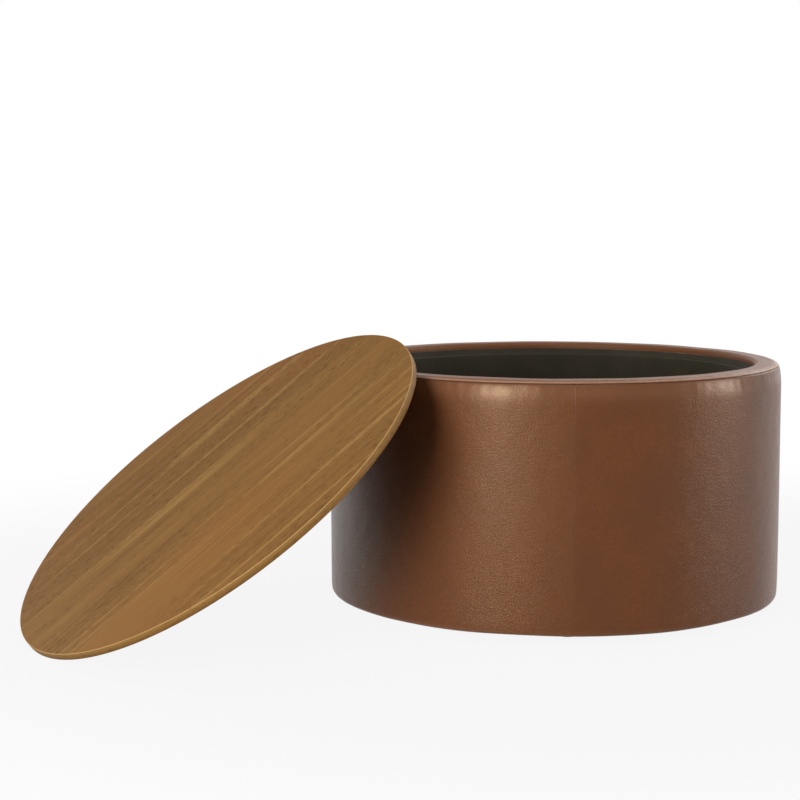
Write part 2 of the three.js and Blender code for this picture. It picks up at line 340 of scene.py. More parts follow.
@dataclass(frozen=True)
class LeatherFinish(Finish):
    """Coated brown leather with a pebbled grain and fine level creases, with painted shade in the creases
    and seams, a painted highlight on the taut shoulder, and lighter, rubbed ridges that carry a painted
    highlight along the rim's seam ridge.
    """

    # The dark colour is painted shade in the grain's valleys and the creases.
    dark: Colour = paint(66, 39, 23)
    warm: Colour = paint(106, 60, 34)
    # The lighter colour of rubbed leather, also used for the painted highlights on the taut shoulder and
    # the rim's seam ridge.
    rubbed_and_highlight: Colour = paint(176, 134, 106)
    shade_line: Colour = paint(50, 29, 18)
    pebble: float = 3.4 * MM
    crease: float = 8.0 * MM
    patch: float = 45.0 * MM
    mottle: float = 90.0 * MM
    grain_height: float = 0.28 * MM
    crease_height: float = 0.5 * MM

    def constants(self) -> dict:
        """Returns the constant values, with a warm gloss as aniline-dyed leather has."""
        more = {"Specular IOR Level": 0.28, "Specular Tint": (1.0, 0.73, 0.49, 1.0)}
        return {**super().constants(), **more}

    def shade(self, graph: Graph) -> dict[str, Value]:
        """Builds the grain, the creases, the mottled colour and the lighter, rubbed ridges, with painted
        shade in the creases and seams and painted highlights on the shoulder and the rim's seam ridge.
        """
        fine = graph.place([1 / self.pebble, 1 / self.pebble, 1.8 / self.pebble])
        wide = graph.place([1 / self.crease, 1 / self.crease, 2.4 / self.crease])
        cloud = graph.place([1 / self.mottle] * 3)
        pebbles = 1 - graph.cells(fine, "SMOOTH_F1", 0.35).math("MULTIPLY", 1.0, clamp=True)
        valleys = graph.cells(fine, "DISTANCE_TO_EDGE").ramp(0.02, 0.25)
        folds = graph.noise(wide, 3.0, 0.6, 0.6)
        patches = graph.noise(graph.place([1 / self.patch] * 3), 2.0)
        mottling = graph.noise(cloud, 3.0, 0.55)
        taut = graph.attribute("taut")
        loose = 1 - taut * 0.65
        grain = graph.bump((pebbles * 0.6 + valleys * 0.4) * loose, self.grain_height, 0.8)
        wrinkles = folds * (patches.ramp(0.3, 0.7) * 0.6 + 0.4) * loose
        normal = graph.bump(wrinkles, self.crease_height, 0.8, grain)
        tone = graph.mix(mottling.ramp(0.35, 0.7) * 0.7, self.colour, self.warm)
        # Painted shade: the grain's valleys and the low parts of the creases are darkened.
        tone = graph.mix((1 - valleys) * 0.35, tone, self.dark)
        tone = graph.mix((1 - folds.ramp(0.25, 0.5)) * 0.3, tone, self.dark)
        ridge = graph.attribute("ridge")
        groove = graph.attribute("groove")
        # Painted highlight: the taut shoulder under the rim is lightened a little.
        tone = graph.mix(taut * 0.1, tone, self.rubbed_and_highlight)
        # Lighter ridges: rubbed leather along the seams and the bottom, and a painted highlight as well
        # along the rim's seam ridge.
        tone = graph.mix(ridge * (folds * 0.5 + 0.35), tone, self.rubbed_and_highlight)
        # Painted shade in the seams' grooves.
        tone = graph.mix(groove, tone, self.shade_line)
        gloss = self.roughness + (mottling - 0.5) * 0.1 + (1 - valleys) * 0.1 - taut * 0.07
        return {"Base Color": tone, "Roughness": gloss, "Normal": normal}


@dataclass(frozen=True)
class WovenFinish(Finish):
    """Plain-woven or bonded fabric with threads, fuzz and a little unevenness."""

    thread: float = 0.8 * MM
    lift: float = 0.12 * MM
    light: Colour = paint(70, 64, 50)

    def constants(self) -> dict:
        """Returns the constant values, with a soft sheen."""
        more = {"Specular IOR Level": 0.12, "Sheen Weight": 0.06, "Sheen Roughness": 0.5}
        return {**super().constants(), **more}

    def shade(self, graph: Graph) -> dict[str, Value]:
        """Builds crossing threads on the piece's UV map, over clouded colour."""
        step = 2 * math.pi / self.thread
        split = graph.node("ShaderNodeSeparateXYZ", None, {"Vector": graph.place([step] * 3, uv=True)})
        warp = graph.value(split, "X").math("SINE") * 0.5 + 0.5
        weft = graph.value(split, "Y").math("SINE") * 0.5 + 0.5
        weave = warp * weft
        cloud = graph.noise(graph.place([22.0] * 3), 4.0, 0.6)
        fuzz = graph.noise(graph.place([0.5 / self.thread] * 3), 3.0, 0.7)
        tone = graph.mix(weave * 0.45 + fuzz.ramp(0.4, 0.8) * 0.3, self.colour, self.light)
        tone = graph.mix(cloud.ramp(0.35, 0.75) * 0.25, tone, self.light)
        normal = graph.bump(weave * 0.6 + fuzz * 0.8, self.lift, 0.7)
        gloss = self.roughness + (cloud - 0.5) * 0.1
        return {"Base Color": tone, "Roughness": gloss, "Normal": normal}


@dataclass(frozen=True)
class VeneerFinish(Finish):
    """Straight-grained wood veneer, with the grain along the lid's slope or round its edge."""

    dark: Colour = paint(101, 68, 28)
    light: Colour = paint(163, 125, 70)
    red: Colour = paint(134, 86, 39)
    # The pores' colour, also used for painted shade along the lid edge's lower arris.
    pore_and_shade: Colour = paint(82, 54, 28)
    # The arris colour is a painted highlight along the lid edge's top arris, partly a worn edge.
    arris: Colour = paint(200, 162, 106)
    pore_depth: float = 0.08 * MM
    grain_turn: float = math.radians(2.5)
    round_edge: bool = False

    def constants(self) -> dict:
        """Returns the constant values of a matt lacquer."""
        return {**super().constants(), "Specular IOR Level": 0.06}

    def grain(self, graph: Graph, scale: Sequence[float]) -> Value:
        """Returns coordinates with X along the grain, Y across it and Z out of the lid."""
        if self.round_edge:
            return graph.place(scale, uv=True)
        return graph.place(scale, (0.0, LID_TILT, self.grain_turn))

    def rings(self, graph: Graph, scale: Sequence[float], low: float, high: float) -> tuple[Value, Value]:
        """Returns light and dark streaks that lie side by side, as growth rings do.

        Args:
            graph: The material's graph.
            scale: The noise's scale along the grain, across it and out of the lid.
            low: The noise value where the dark streak ends.
            high: The noise value where the light streak starts.

        Returns:
            The light and the dark streaks, from 0 to 1.
        """
        noise = graph.noise(self.grain(graph, scale), 3.0, 0.55, 0.25)
        return noise.ramp(high, high + 0.07), 1 - noise.ramp(low - 0.07, low)

    def shade(self, graph: Graph) -> dict[str, Value]:
        """Builds broad bands, growth rings, hair lines and short pores along the grain."""
        bands = graph.noise(self.grain(graph, [0.9, 9.0, 1.0]), 2.0, 0.5, 0.3)
        drift = graph.noise(self.grain(graph, [1.8, 5.0, 1.0]), 2.0)
        hair = graph.noise(self.grain(graph, [4.0, 260.0, 1.0]), 3.0, 0.6, 0.1)
        fibre = graph.noise(self.grain(graph, [26.0, 1100.0, 1.0]), 3.0, 0.6)
        pores = graph.noise(self.grain(graph, [62.0, 430.0, 2.0]), 2.0, 0.5)
        tone = graph.mix(bands.ramp(0.35, 0.65) * 0.35, self.colour, self.dark)
        tone = graph.mix(drift.ramp(0.42, 0.72) * 0.5, tone, self.red)
        for scale, amount, seed in (
            ([0.8, 24.0, 1.0], 0.55, 3.0),
            ([1.4, 58.0, 3.0], 0.5, 7.0),
            ([2.6, 120.0, 5.0], 0.4, 11.0),
        ):
            zone = graph.noise(self.grain(graph, [1.5, 6.5, seed]), 1.0).ramp(0.38, 0.62) * amount
            bright, dim = self.rings(graph, scale, 0.42, 0.58)
            tone = graph.mix(bright * zone, tone, self.light)
            tone = graph.mix(dim * zone, tone, self.dark)
        tone = graph.mix(hair.ramp(0.54, 0.75) * 0.22, tone, self.light)
        tone = graph.mix((1 - hair.ramp(0.28, 0.42)) * 0.4, tone, self.dark)
        open_pores = pores.ramp(0.56, 0.64) * bands.ramp(0.3, 0.55)
        tone = graph.mix(open_pores * 0.7, tone, self.pore_and_shade)
        # Painted highlight along the top arris, partly a worn edge.
        tone = graph.mix(graph.attribute("ridge"), tone, self.arris)
        # Painted shade along the lower arris, in the pores' colour.
        tone = graph.mix(graph.attribute("groove"), tone, self.pore_and_shade)
        height = fibre * 0.4 + (1 - open_pores) * 0.6
        gloss = self.roughness + (hair - 0.5) * 0.14 + open_pores * 0.15
        return {"Base Color": tone, "Roughness": gloss, "Normal": graph.bump(height, self.pore_depth, 0.6)}


@dataclass(frozen=True)
class PlyFinish(Finish):
    """Bare plywood or softwood, with grain along X and plies that show on sawn edges."""

    dark: Colour = paint(150, 116, 76)
    ply: float = 1.6 * MM
    grain_height: float = 0.15 * MM

    def shade(self, graph: Graph) -> dict[str, Value]:
        """Builds stretched grain and thin layers across Z."""
        grain = graph.noise(graph.place([5.0, 120.0, 60.0]), 4.0, 0.6, 0.4)
        layers = graph.noise(graph.place([2.0, 2.0, 1 / self.ply]), 1.0)
        tone = graph.mix(grain.ramp(0.35, 0.7), self.colour, self.dark)
        tone = graph.mix(layers.ramp(0.45, 0.6) * 0.35, tone, self.dark)
        return {
            "Base Color": tone,
            "Roughness": self.roughness + (grain - 0.5) * 0.2,
            "Normal": graph.bump(grain, self.grain_height, 0.6),
        }


@dataclass(frozen=True)
class SpeckleFinish(Finish):
    """A speckled surface: pressed fibre, foam or moulded plastic."""

    other: Colour = paint(90, 66, 42)
    grain: float = 1.0 * MM
    lift: float = 0.1 * MM
    share: float = 0.5

    def shade(self, graph: Graph) -> dict[str, Value]:
        """Builds fine specks with a slow drift of colour."""
        specks = graph.noise(graph.place([1 / self.grain] * 3), 4.0, 0.65)
        drift = graph.noise(graph.place([18.0] * 3), 3.0)
        tone = graph.mix(specks.ramp(0.35, 0.7) * self.share, self.colour, self.other)
        tone = graph.mix(drift.ramp(0.4, 0.8) * self.share * 0.6, tone, self.other)
        return {
            "Base Color": tone,
            "Roughness": self.roughness + (specks - 0.5) * 0.2,
            "Normal": graph.bump(specks, self.lift, 0.6),
        }


@dataclass(frozen=True)
class SteelFinish(Finish):
    """Zinc-plated steel with a brushed, slightly stained surface."""

    stain: Colour = paint(120, 112, 92)
    scratch_depth: float = 0.02 * MM

    def constants(self) -> dict:
        """Returns the constant values of a metal."""
        return {**super().constants(), "Metallic": 1.0}

    def shade(self, graph: Graph) -> dict[str, Value]:
        """Builds fine scratches and faint stains."""
        scratch = graph.noise(graph.place([2500.0, 300.0, 2500.0]), 3.0, 0.6)
        cloud = graph.noise(graph.place([260.0] * 3), 3.0)
        tone = graph.mix(cloud.ramp(0.5, 0.8) * 0.5, self.colour, self.stain)
        return {
            "Base Color": tone,
            "Roughness": self.roughness + (scratch - 0.5) * 0.25,
            "Normal": graph.bump(scratch, self.scratch_depth, 0.5),
        }


LEATHER = LeatherFinish("brown_leather", paint(102, 61, 37), 0.27)
# A darker copy of the leather for the first side panel: painted shade on the panel beside the lit one.
SHADED_LEATHER = LeatherFinish("shaded_brown_leather", paint(97, 56, 34), 0.27)
RIM_LEATHER = LeatherFinish("rim_brown_leather", paint(108, 67, 42), 0.42)
LINING = WovenFinish("lining_fabric", paint(44, 40, 30), 0.9)
BAND = WovenFinish("lining_band_fabric", paint(54, 48, 37), 0.88, light=paint(80, 76, 66))
DUST = WovenFinish(
    "dust_cover_fabric", paint(22, 22, 23), 0.92, thread=1.3 * MM, light=paint(52, 52, 54)
)
VENEER = VeneerFinish("oak_veneer", paint(126, 88, 40), 0.55)
EDGE = VeneerFinish("edge_veneer", paint(133, 96, 48), 0.55, round_edge=True)
PLYWOOD = PlyFinish("plywood", paint(196, 163, 118), 0.7)
HARDBOARD = SpeckleFinish("hardboard", paint(126, 92, 58), 0.8)
CORE = SpeckleFinish("fibre_core", paint(168, 136, 96), 0.85, other=paint(126, 98, 64), grain=0.6 * MM)
FOAM = SpeckleFinish(
    "foam", paint(214, 204, 170), 0.95, other=paint(180, 164, 122), grain=1.4 * MM, lift=0.4 * MM
)
PLASTIC = SpeckleFinish(
    "black_plastic", paint(24, 24, 25), 0.5, other=paint(40, 40, 42), grain=0.9 * MM, lift=0.05 * MM
)
STEEL = SteelFinish("plated_steel", paint(178, 176, 168), 0.35)


# ---------------------------------------------------------------------------------------------
# Shapes


@dataclass(frozen=True)
class Span:
    """The reach of a round node about an axis: its radii and its heights."""

    inner: float
    outer: float
    bottom: float
    top: float

    @classmethod
    def of(cls, node: str, axes: Matrix | None = None) -> "Span":
        """Measures a node of the frame.

        Args:
            node: The node's name.
            axes: Where the round shape's own axes lie, or None for the frame's.

        Returns:
            Its span.
        """
        inverse = (axes or Matrix.Identity(4)).inverted()
        corners = [inverse @ vertex.co for vertex in frame["nodes"][node].data.vertices]
        radii = [math.hypot(corner.x, corner.y) for corner in corners]
        heights = [corner.z for corner in corners]
        return cls(min(radii), max(radii), min(heights), max(heights))


def arc(centre: Point, radius: float, start: float, end: float, count: int) -> Profile:
    """Returns points of an arc, from one angle in degrees to another, both ends included."""
    angles = np.radians(np.linspace(start, end, count))
    return [(centre[0] + radius * math.cos(a), centre[1] + radius * math.sin(a)) for a in angles]


def line(start: Point, end: Point, count: int, ease: float = 1.0) -> Profile:
    """Returns points between two ends, without the ends. ease over 1 packs them near the end."""
    shares = 1 - (1 - np.linspace(0, 1, count + 2)[1:-1]) ** ease
    return [(start[0] + (end[0] - start[0]) * s, start[1] + (end[1] - start[1]) * s) for s in shares]


def length_of(profile: Profile) -> float:
    """Returns a profile's length."""
    return sum(math.dist(here, there) for here, there in zip(profile, profile[1:]))


def bell(value: Grid, width: float, middle: float = 0.0) -> Grid:
    """Returns a soft bump that is 1 where a value is in the middle and fades to 0 past its width."""
    return np.exp(-(((value - middle) / width) ** 2))


class Waves:
    """Smooth random waves round the drum, the same on every run."""

    def __init__(self, seed: int, turns: tuple[int, int], height: float, count: int = 18) -> None:
        """Draws the waves.

        Args:
            seed: The seed of the random draws.
            turns: The fewest and most waves round the drum.
            height: The length of the shortest upright wave, in metres.
            count: How many waves there are.
        """
        draw = np.random.default_rng(seed)
        self.around = draw.integers(turns[0], turns[1] + 1, count)
        self.upward = draw.uniform(-2 * math.pi / height, 2 * math.pi / height, count)
        self.phase = draw.uniform(0, 2 * math.pi, count)
        self.scale = 1 / math.sqrt(count)

    def at(self, angle: Grid, height: Grid) -> Grid:
        """Returns the waves' height, mostly from -1 to 1, at angles and heights."""
        total = np.zeros(np.broadcast(angle, height).shape)
        for around, upward, phase in zip(self.around, self.upward, self.phase):
            total += np.sin(around * angle + upward * height + phase)
        return total * self.scale


@dataclass
class Turned:
    """A closed profile turned about Z, all the way round or part of it, with a relief on its skin.

    The profile is the skin's points and then the back's, and both lists are equally long where the
    piece has ends to close.
    """

    name: str
    skin: Profile
    back: Profile = field(default_factory=list)
    angles: Grid = field(default_factory=lambda: full_turn(240))
    closed: bool = True
    relief: Relief | None = None
    masks: dict[str, Relief] = field(default_factory=dict)
    below_lid: bool = False
    flat_map: bool = False

    def build(self) -> bpy.types.Object:
        """Makes the mesh.

        Returns:
            The piece, with a UV map in metres.
        """
        loop = np.array([*self.skin, *self.back])
        shown = np.arange(len(loop)) < len(self.skin)
        if self._is_clockwise(loop):
            loop, shown = loop[::-1], shown[::-1]
        along = np.concatenate([[0.0], np.cumsum(np.hypot(*np.diff(loop, axis=0).T))])
        angle, radius = np.meshgrid(self.angles, loop[:, 0], indexing="ij")
        _, height = np.meshgrid(self.angles, loop[:, 1], indexing="ij")
        if self.relief:
            rise = self.relief(angle, radius, height) * shown
            normal = self._normals(loop)
            radius, height = radius + rise * normal[:, 0], height + rise * normal[:, 1]
        corners = np.stack([radius * np.cos(angle), radius * np.sin(angle), height], axis=-1).reshape(-1, 3)
        if self.below_lid:
            corners = press_under_lid(corners)
        mesh = bpy.data.meshes.new(self.name)
        mesh.from_pydata(corners.tolist(), [], self._faces(len(self.angles), len(loop)))
        self._add_uv(mesh, corners, loop[:, 0].max(), along)
        for mask, shape in self.masks.items():
            layer = mesh.attributes.new(mask, "FLOAT", "POINT")
            values = shape(angle, radius, height) * shown
            layer.data.foreach_set("value", values.astype(np.float32).ravel())
        return finish_mesh(self.name, mesh)

    @staticmethod
    def _is_clockwise(loop: Grid) -> bool:
        """Tells which way round a profile runs."""
        following = np.roll(loop, -1, axis=0)
        return float((loop[:, 0] * following[:, 1] - following[:, 0] * loop[:, 1]).sum()) < 0

    @staticmethod
    def _normals(loop: Grid) -> Grid:
        """Returns each profile point's outward direction."""
        tangent = np.roll(loop, -1, axis=0) - np.roll(loop, 1, axis=0)
        normal = np.stack([tangent[:, 1], -tangent[:, 0]], axis=-1)
        return normal / np.maximum(np.linalg.norm(normal, axis=1, keepdims=True), 1e-9)

    def _faces(self, columns: int, rows: int) -> list[tuple[int, ...]]:
        """Joins the profile's copies into faces, and closes both ends of a part turn."""
        faces = []
        for i in range(columns if self.closed else columns - 1):
            here, there = i * rows, ((i + 1) % columns) * rows
            for j in range(rows):
                k = (j + 1) % rows
                faces.append((here + j, there + j, there + k, here + k))
        if not self.closed:
            last = (columns - 1) * rows
            for j in range(rows // 2 - 1):
                faces.append((j, j + 1, rows - 2 - j, rows - 1 - j))
                faces.append((last + rows - 1 - j, last + rows - 2 - j, last + j + 1, last + j))
        return faces

    def _add_uv(self, mesh: bpy.types.Mesh, corners: Grid, reach: float, along: Grid) -> None:
        """Writes a UV map: round and along the profile, or seen from above for a flat piece."""
        vertex = np.empty(len(mesh.loops), dtype=np.int32)
        mesh.loops.foreach_get("vertex_index", vertex)
        if self.flat_map:
            chosen = corners[vertex, :2]
        else:
            rows = len(along)
            column = vertex // rows
            u = self.angles[column] * reach
            if self.closed:
                last = np.arange(len(vertex)) >= (len(self.angles) - 1) * rows * 4
                u = u + (last & (column == 0)) * 2 * math.pi * reach
            chosen = np.stack([u, along[vertex % rows]], axis=-1)
        mesh.uv_layers.new(name="metres").data.foreach_set("uv", chosen.astype(np.float32).ravel())


def press_under_lid(corners: Grid, spare: float = 0.15 * MM, most: float = 3.0 * MM) -> Grid:
    """Pushes points that the leaning lid would cut back under it."""
    normal = np.array(LID_AXES.to_3x3().col[2])
    above = corners @ normal - (np.array(LID_AXES.translation) @ normal - spare)
    return corners - np.clip(above, 0, most)[:, None] * normal


def add_object(name: str, data: bpy.types.ID | None) -> bpy.types.Object:
    """Puts an object that holds some data in the scene."""
    made = bpy.data.objects.new(name, data)
    bpy.context.scene.collection.objects.link(made)
    return made


def smooth(mesh: bpy.types.Mesh, sharp: float) -> None:
    """Smooths a mesh, except at edges sharper than an angle in degrees."""
    mesh.polygons.foreach_set("use_smooth", [True] * len(mesh.polygons))
    mesh.set_sharp_from_angle(angle=math.radians(sharp))


def finish_mesh(name: str, mesh: bpy.types.Mesh, sharp: float = 38.0) -> bpy.types.Object:
    """Closes a mesh's poles, smooths it except at sharp edges and puts it in the scene.

    Args:
        name: The piece's name.
        mesh: Its mesh.
        sharp: The angle of a sharp edge, in degrees.

    Returns:
        The piece.
    """
    work = bmesh.new()
    work.from_mesh(mesh)
    bmesh.ops.remove_doubles(work, verts=work.verts, dist=SAME_POINT)
    work.to_mesh(mesh)
    work.free()
    smooth(mesh, sharp)
    mesh.update()
    return add_object(name, mesh)


def full_turn(count: int) -> Grid:
    """Returns even angles round a circle, in radians."""
    return np.linspace(0, 2 * math.pi, count, endpoint=False)


def evaluated(piece: bpy.types.Object, name: str) -> bpy.types.Object:
    """Turns a piece and its live modifiers into a plain piece, and removes the first one.

    Args:
        piece: The piece with modifiers.
        name: The plain piece's name.

    Returns:
        The plain piece.
    """
    seen = piece.evaluated_get(bpy.context.evaluated_depsgraph_get())
    mesh = bpy.data.meshes.new_from_object(seen)
    bpy.data.objects.remove(piece)
    mesh.name = name
    return add_object(name, mesh)


def softened(node: str, name: str, width: float) -> bpy.types.Object:
    """Copies a node of the frame and rounds its sharp edges.

    Args:
        node: The node's name.
        name: The copy's name.
        width: The width of the rounding, in metres.

    Returns:
        The copy.
    """
    mesh = frame["nodes"][node].data.copy()
    work = bmesh.new()
    work.from_mesh(mesh)
    bmesh.ops.remove_doubles(work, verts=work.verts, dist=SAME_POINT)
    flat = math.radians(2)
    bmesh.ops.dissolve_limit(work, angle_limit=flat, verts=work.verts, edges=work.edges)
    work.to_mesh(mesh)
    work.free()
    copy = add_object(f"{name}_blank", mesh)
    bevel = copy.modifiers.new("edges", "BEVEL")
    bevel.width = width
    bevel.segments = 2
    bevel.limit_method = "ANGLE"
    bevel.angle_limit = math.radians(40)
    plain = evaluated(copy, name)
    smooth(plain.data, 35)
    return plain


# ---------------------------------------------------------------------------------------------
# Copies of a shape round a circle


class RingCopies:
    """Geometry Nodes tree that sets copies of a shape round a circle, alone or in pairs."""

    SOCKETS = {
        "Shape": "NodeSocketObject",
        "Groups": "NodeSocketInt",
        "Group Size": "NodeSocketInt",
        "Spread": "NodeSocketFloat",
        "Turn": "NodeSocketFloat",
        "Radius": "NodeSocketFloat",
        "Middle": "NodeSocketInt",
        "Finish": "NodeSocketMaterial",
    }

    def __init__(self) -> None:
        """Builds the tree."""
        self.tree = bpy.data.node_groups.new("ring_copies", "GeometryNodeTree")
        graph = Graph(self.tree)
        make = self.tree.interface.new_socket
        self.inputs = {
            name: make(name, in_out="INPUT", socket_type=kind).identifier
            for name, kind in self.SOCKETS.items()
        }
        make("Copies", in_out="OUTPUT", socket_type="NodeSocketGeometry")
        group = graph.node("NodeGroupInput")
        given = {name: graph.value(group, name) for name in self.SOCKETS}
        index = graph.out("GeometryNodeInputIndex")
        copies = given["Groups"] * given["Group Size"]
        turn = self._angle(index, given)
        reach = given["Radius"] * index.math("LESS_THAN", copies)
        parts = {"X": reach * turn.math("COSINE"), "Y": reach * turn.math("SINE")}
        spot = graph.out("ShaderNodeCombineXYZ", None, parts)
        facing = graph.out("ShaderNodeCombineXYZ", None, {"Z": turn})
        inputs = {"Count": copies + given["Middle"], "Position": spot}
        points = graph.out("GeometryNodePoints", None, inputs)
        info = graph.node("GeometryNodeObjectInfo", None, {"Object": given["Shape"]})
        shape = graph.value(info, "Geometry")
        inputs = {"Points": points, "Instance": shape, "Rotation": facing}
        placed = graph.out("GeometryNodeInstanceOnPoints", None, inputs)
        real = graph.out("GeometryNodeRealizeInstances", None, {"Geometry": placed})
        inputs = {"Geometry": real, "Material": given["Finish"]}
        done = graph.out("GeometryNodeSetMaterial", None, inputs)
        graph.node("NodeGroupOutput", None, {"Copies": done})

    @staticmethod
    def _angle(index: Value, given: dict[str, Value]) -> Value:
        """Returns each copy's angle round the circle."""
        size = given["Group Size"]
        group = (index / size).math("FLOOR")
        place = index - group * size - (size - 1) * 0.5
        return given["Turn"] + group * (2 * math.pi) / given["Groups"] + place * given["Spread"]

    def make(
        self,
        name: str,
        shape: bpy.types.Object,
        finish: Finish,
        groups: int,
        radius: float,
        turn: float = 0.0,
        group_size: int = 1,
        spread: float = 0.0,
        middle: int = 0,
    ) -> bpy.types.Object:
        """Runs the tree.

        Args:
            name: The result's name.
            shape: The shape that is copied. It is removed.
            finish: The copies' finish.
            groups: How many places there are round the circle.
            radius: The circle's radius, in metres.
            turn: The first place's angle, in radians.
            group_size: How many copies there are at each place.
            spread: The angle between the copies at a place, in radians.
            middle: How many more copies stand at the circle's middle.

        Returns:
            All the copies as one plain piece.
        """
        blank = add_object(f"{name}_blank", bpy.data.meshes.new(name))
        modifier = blank.modifiers.new("copies", "NODES")
        modifier.node_group = self.tree
        settings = {
            "Shape": shape,
            "Groups": groups,
            "Group Size": group_size,
            "Spread": spread,
            "Turn": turn,
            "Radius": radius,
            "Middle": middle,
            "Finish": finish.material(),
        }
        for key, setting in settings.items():
            modifier[self.inputs[key]] = setting
        copies = evaluated(blank, name)
        bpy.data.objects.remove(shape)
        return copies


def put(piece: bpy.types.Object, body: Body, finish: Finish, nodes: Sequence[str] = ()) -> None:
    """Gives a piece its finish, its body and the nodes that it stands for.

    Args:
        piece: The piece.
        body: The body that it rides on.
        finish: Its finish.
        nodes: The frame's nodes that it replaces.
    """
    piece.data.materials.clear()
    piece.data.materials.append(finish.material())
    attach(piece, body.value)
    if nodes:
        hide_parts(*nodes)
    LOG.info("%s: %d faces, rides on %s", piece.name, len(piece.data.polygons), body.value)


def numbered(stem: str, count: int) -> list[str]:
    """Returns the names of numbered nodes."""
    return [f"{stem}_{i + 1}" for i in range(count)]


# ---------------------------------------------------------------------------------------------
# The drum


@dataclass
class Cover:
    """The drum's leather: two side panels with upright seams, and a rim cover sewn to both."""

    thickness: float = 1.4 * MM
    thin_edge: float = 4.0 * MM
    rim_round: float = 15.0 * MM
    inner_round: float = 7.0 * MM
    seam_angle: float = 41.8
    seam_depth: float = 1.0 * MM
    seam_tilt: float = 118.0
    seam_reach: float = 1.3 * MM
    shoulder_tilt: float = 13.0
    shoulder_reach: float = 24.0 * MM
    shoulder_depth: float = 60.0 * MM
    ridge_height: float = 0.78 * MM
    ridge_angle: float = 50.0
    ridge_width: float = 9.0
    ridge_sweep: float = 39.5
    bottom_round: float = 6.0 * MM
    flap: float = 50.0 * MM
    slack_fade: float = 0.3
    upright: tuple[float, float] = (SEAM_ANGLE, SEAM_ANGLE - math.pi)
    upright_round: float = 1.1 * MM
    upright_depth: float = 0.4 * MM
    upright_parting: float = 2e-5
    upright_steps: tuple[float, ...] = (0.12, 0.3, 0.55, 0.85, 1.2, 1.8, 2.6)
    nick_steps: tuple[float, ...] = (0.4, 0.9, 1.6, 2.5, 3.6)
    nick_depth: float = 0.6 * MM
    nick_width: float = 3.2 * MM
    nick_lip: float = 6.0 * MM
    nick_lip_width: float = 3.0 * MM
    pinch_depth: float = 0.9 * MM
    pinch_width: float = 20.0 * MM
    pinch_drop: float = 8.0 * MM
    pinch_reach: float = 16.0 * MM
    taut_drop: float = 13.0 * MM
    calm_drop: float = 5.0 * MM
    hidden_inset: float = 14.0 * MM
    gather_height: float = 0.3 * MM
    gather_reach: float = 16.0 * MM
    swell_height: float = 0.5 * MM
    crease_height: float = 0.07 * MM
    rim_ease: float = 11.0 * MM
    rim_swell_height: float = 0.2 * MM
    rim_gather_height: float = 0.14 * MM
    rub_and_highlight_rise: float = 1.7 * MM
    rub_and_highlight_width: float = 1.5 * MM
    upright_rub: float = 2.0 * MM
    upright_rub_width: float = 1.2 * MM
    bottom_rub_width: float = 5.0 * MM
    upright_groove: float = 0.35 * MM
    rim_groove: float = 0.8 * MM
    lip_inset: float = 1.5 * MM
    columns: int = 330
    rim_columns: int = 660
    full: Span = field(default_factory=lambda: Span.of("side_cover_front"))
    rim: Span = field(default_factory=lambda: Span.of("rim_cover"))
    gathers: Waves = field(default_factory=lambda: Waves(11, (40, 150), 0.09))
    swells: Waves = field(default_factory=lambda: Waves(12, (5, 16), 0.5))
    creases: Waves = field(default_factory=lambda: Waves(13, (18, 60), 0.045))

    def build(self) -> None:
        """Builds the side panels and the rim cover."""
        for name, node, first, finish in (
            # The first panel takes a darker copy of the leather, as painted shade.
            ("side_leather_1", "side_cover_front", self.upright[0], SHADED_LEATHER),
            ("side_leather_2", "side_cover_back", self.upright[1], LEATHER),
        ):
            self._panel(name, node, first, finish)
        self._rim_cover()

    @property
    def outer(self) -> float:
        """The drum's radius."""
        return self.full.outer

    @property
    def centre(self) -> Point:
        """The middle of the rim's outer rounding, in the profile."""
        return (self.outer - self.rim_round, self.rim.top - self.rim_round)

    def _round_point(self, angle: float, rise: float) -> Point:
        """Returns a profile point over the rim's rounding, at an angle in degrees."""
        reach = self.rim_round + rise
        turn = math.radians(angle)
        return (self.centre[0] + reach * math.cos(turn), self.centre[1] + reach * math.sin(turn))

    def _back(self, skin: Profile, side: int = 1) -> Profile:
        """Returns the back of a skin, in the opposite order.

        Args:
            skin: The skin's points, from its sewn edge.
            side: 1 where the skin runs down the drum from the seam, -1 where it runs inwards over the rim.

        Returns:
            The back's points, a leather's thickness behind the skin and closer to it in the seam.
        """
        points = np.array(skin)
        steps = np.concatenate([[0.0], np.cumsum(np.hypot(*np.diff(points, axis=0).T))])
        tangent = np.gradient(points, axis=0) * side
        normal = np.stack([-tangent[:, 1], tangent[:, 0]], axis=-1)
        normal /= np.linalg.norm(normal, axis=1, keepdims=True)
        depth = self.thickness * np.clip(0.25 + steps / self.thin_edge, 0.25, 1.0)
        return [tuple(point) for point in (points - normal * depth[:, None])[::-1]]

    def _shoulder(self) -> Profile:
        """Returns the side's shoulder: steep in the seam, then easing to upright over the foam."""
        depths = self.shoulder_depth * np.linspace(0, 1, 26) ** 2
        middles = (depths[1:] + depths[:-1]) / 2
        tilts = self.seam_tilt * np.exp(-middles / self.seam_reach)
        tilts += self.shoulder_tilt * bell(middles, self.shoulder_reach)
        turns = np.radians(tilts)
        steps = np.diff(depths)
        radius, height = self._round_point(self.seam_angle + 0.5, -self.seam_depth)
        radii = radius + np.concatenate([[0.0], np.cumsum(steps * np.sin(turns))])
        heights = height - np.concatenate([[0.0], np.cumsum(steps * np.cos(turns))])
        return list(zip(radii.tolist(), heights.tolist()))

    def _ridge(self) -> Profile:
        """Returns the rim cover's sewn edge: up out of the seam, over a soft ridge, onto the rounding."""
        angles = self.seam_angle - 0.3 + self.ridge_sweep * np.linspace(0, 1, 12) ** 1.5
        rises = self.ridge_height * bell(angles, self.ridge_width, self.ridge_angle)
        rises -= 1.6 * self.seam_depth * np.exp(-(angles - angles[0]) / 1.6)
        return [self._round_point(angle, rise) for angle, rise in zip(angles.tolist(), rises.tolist())]

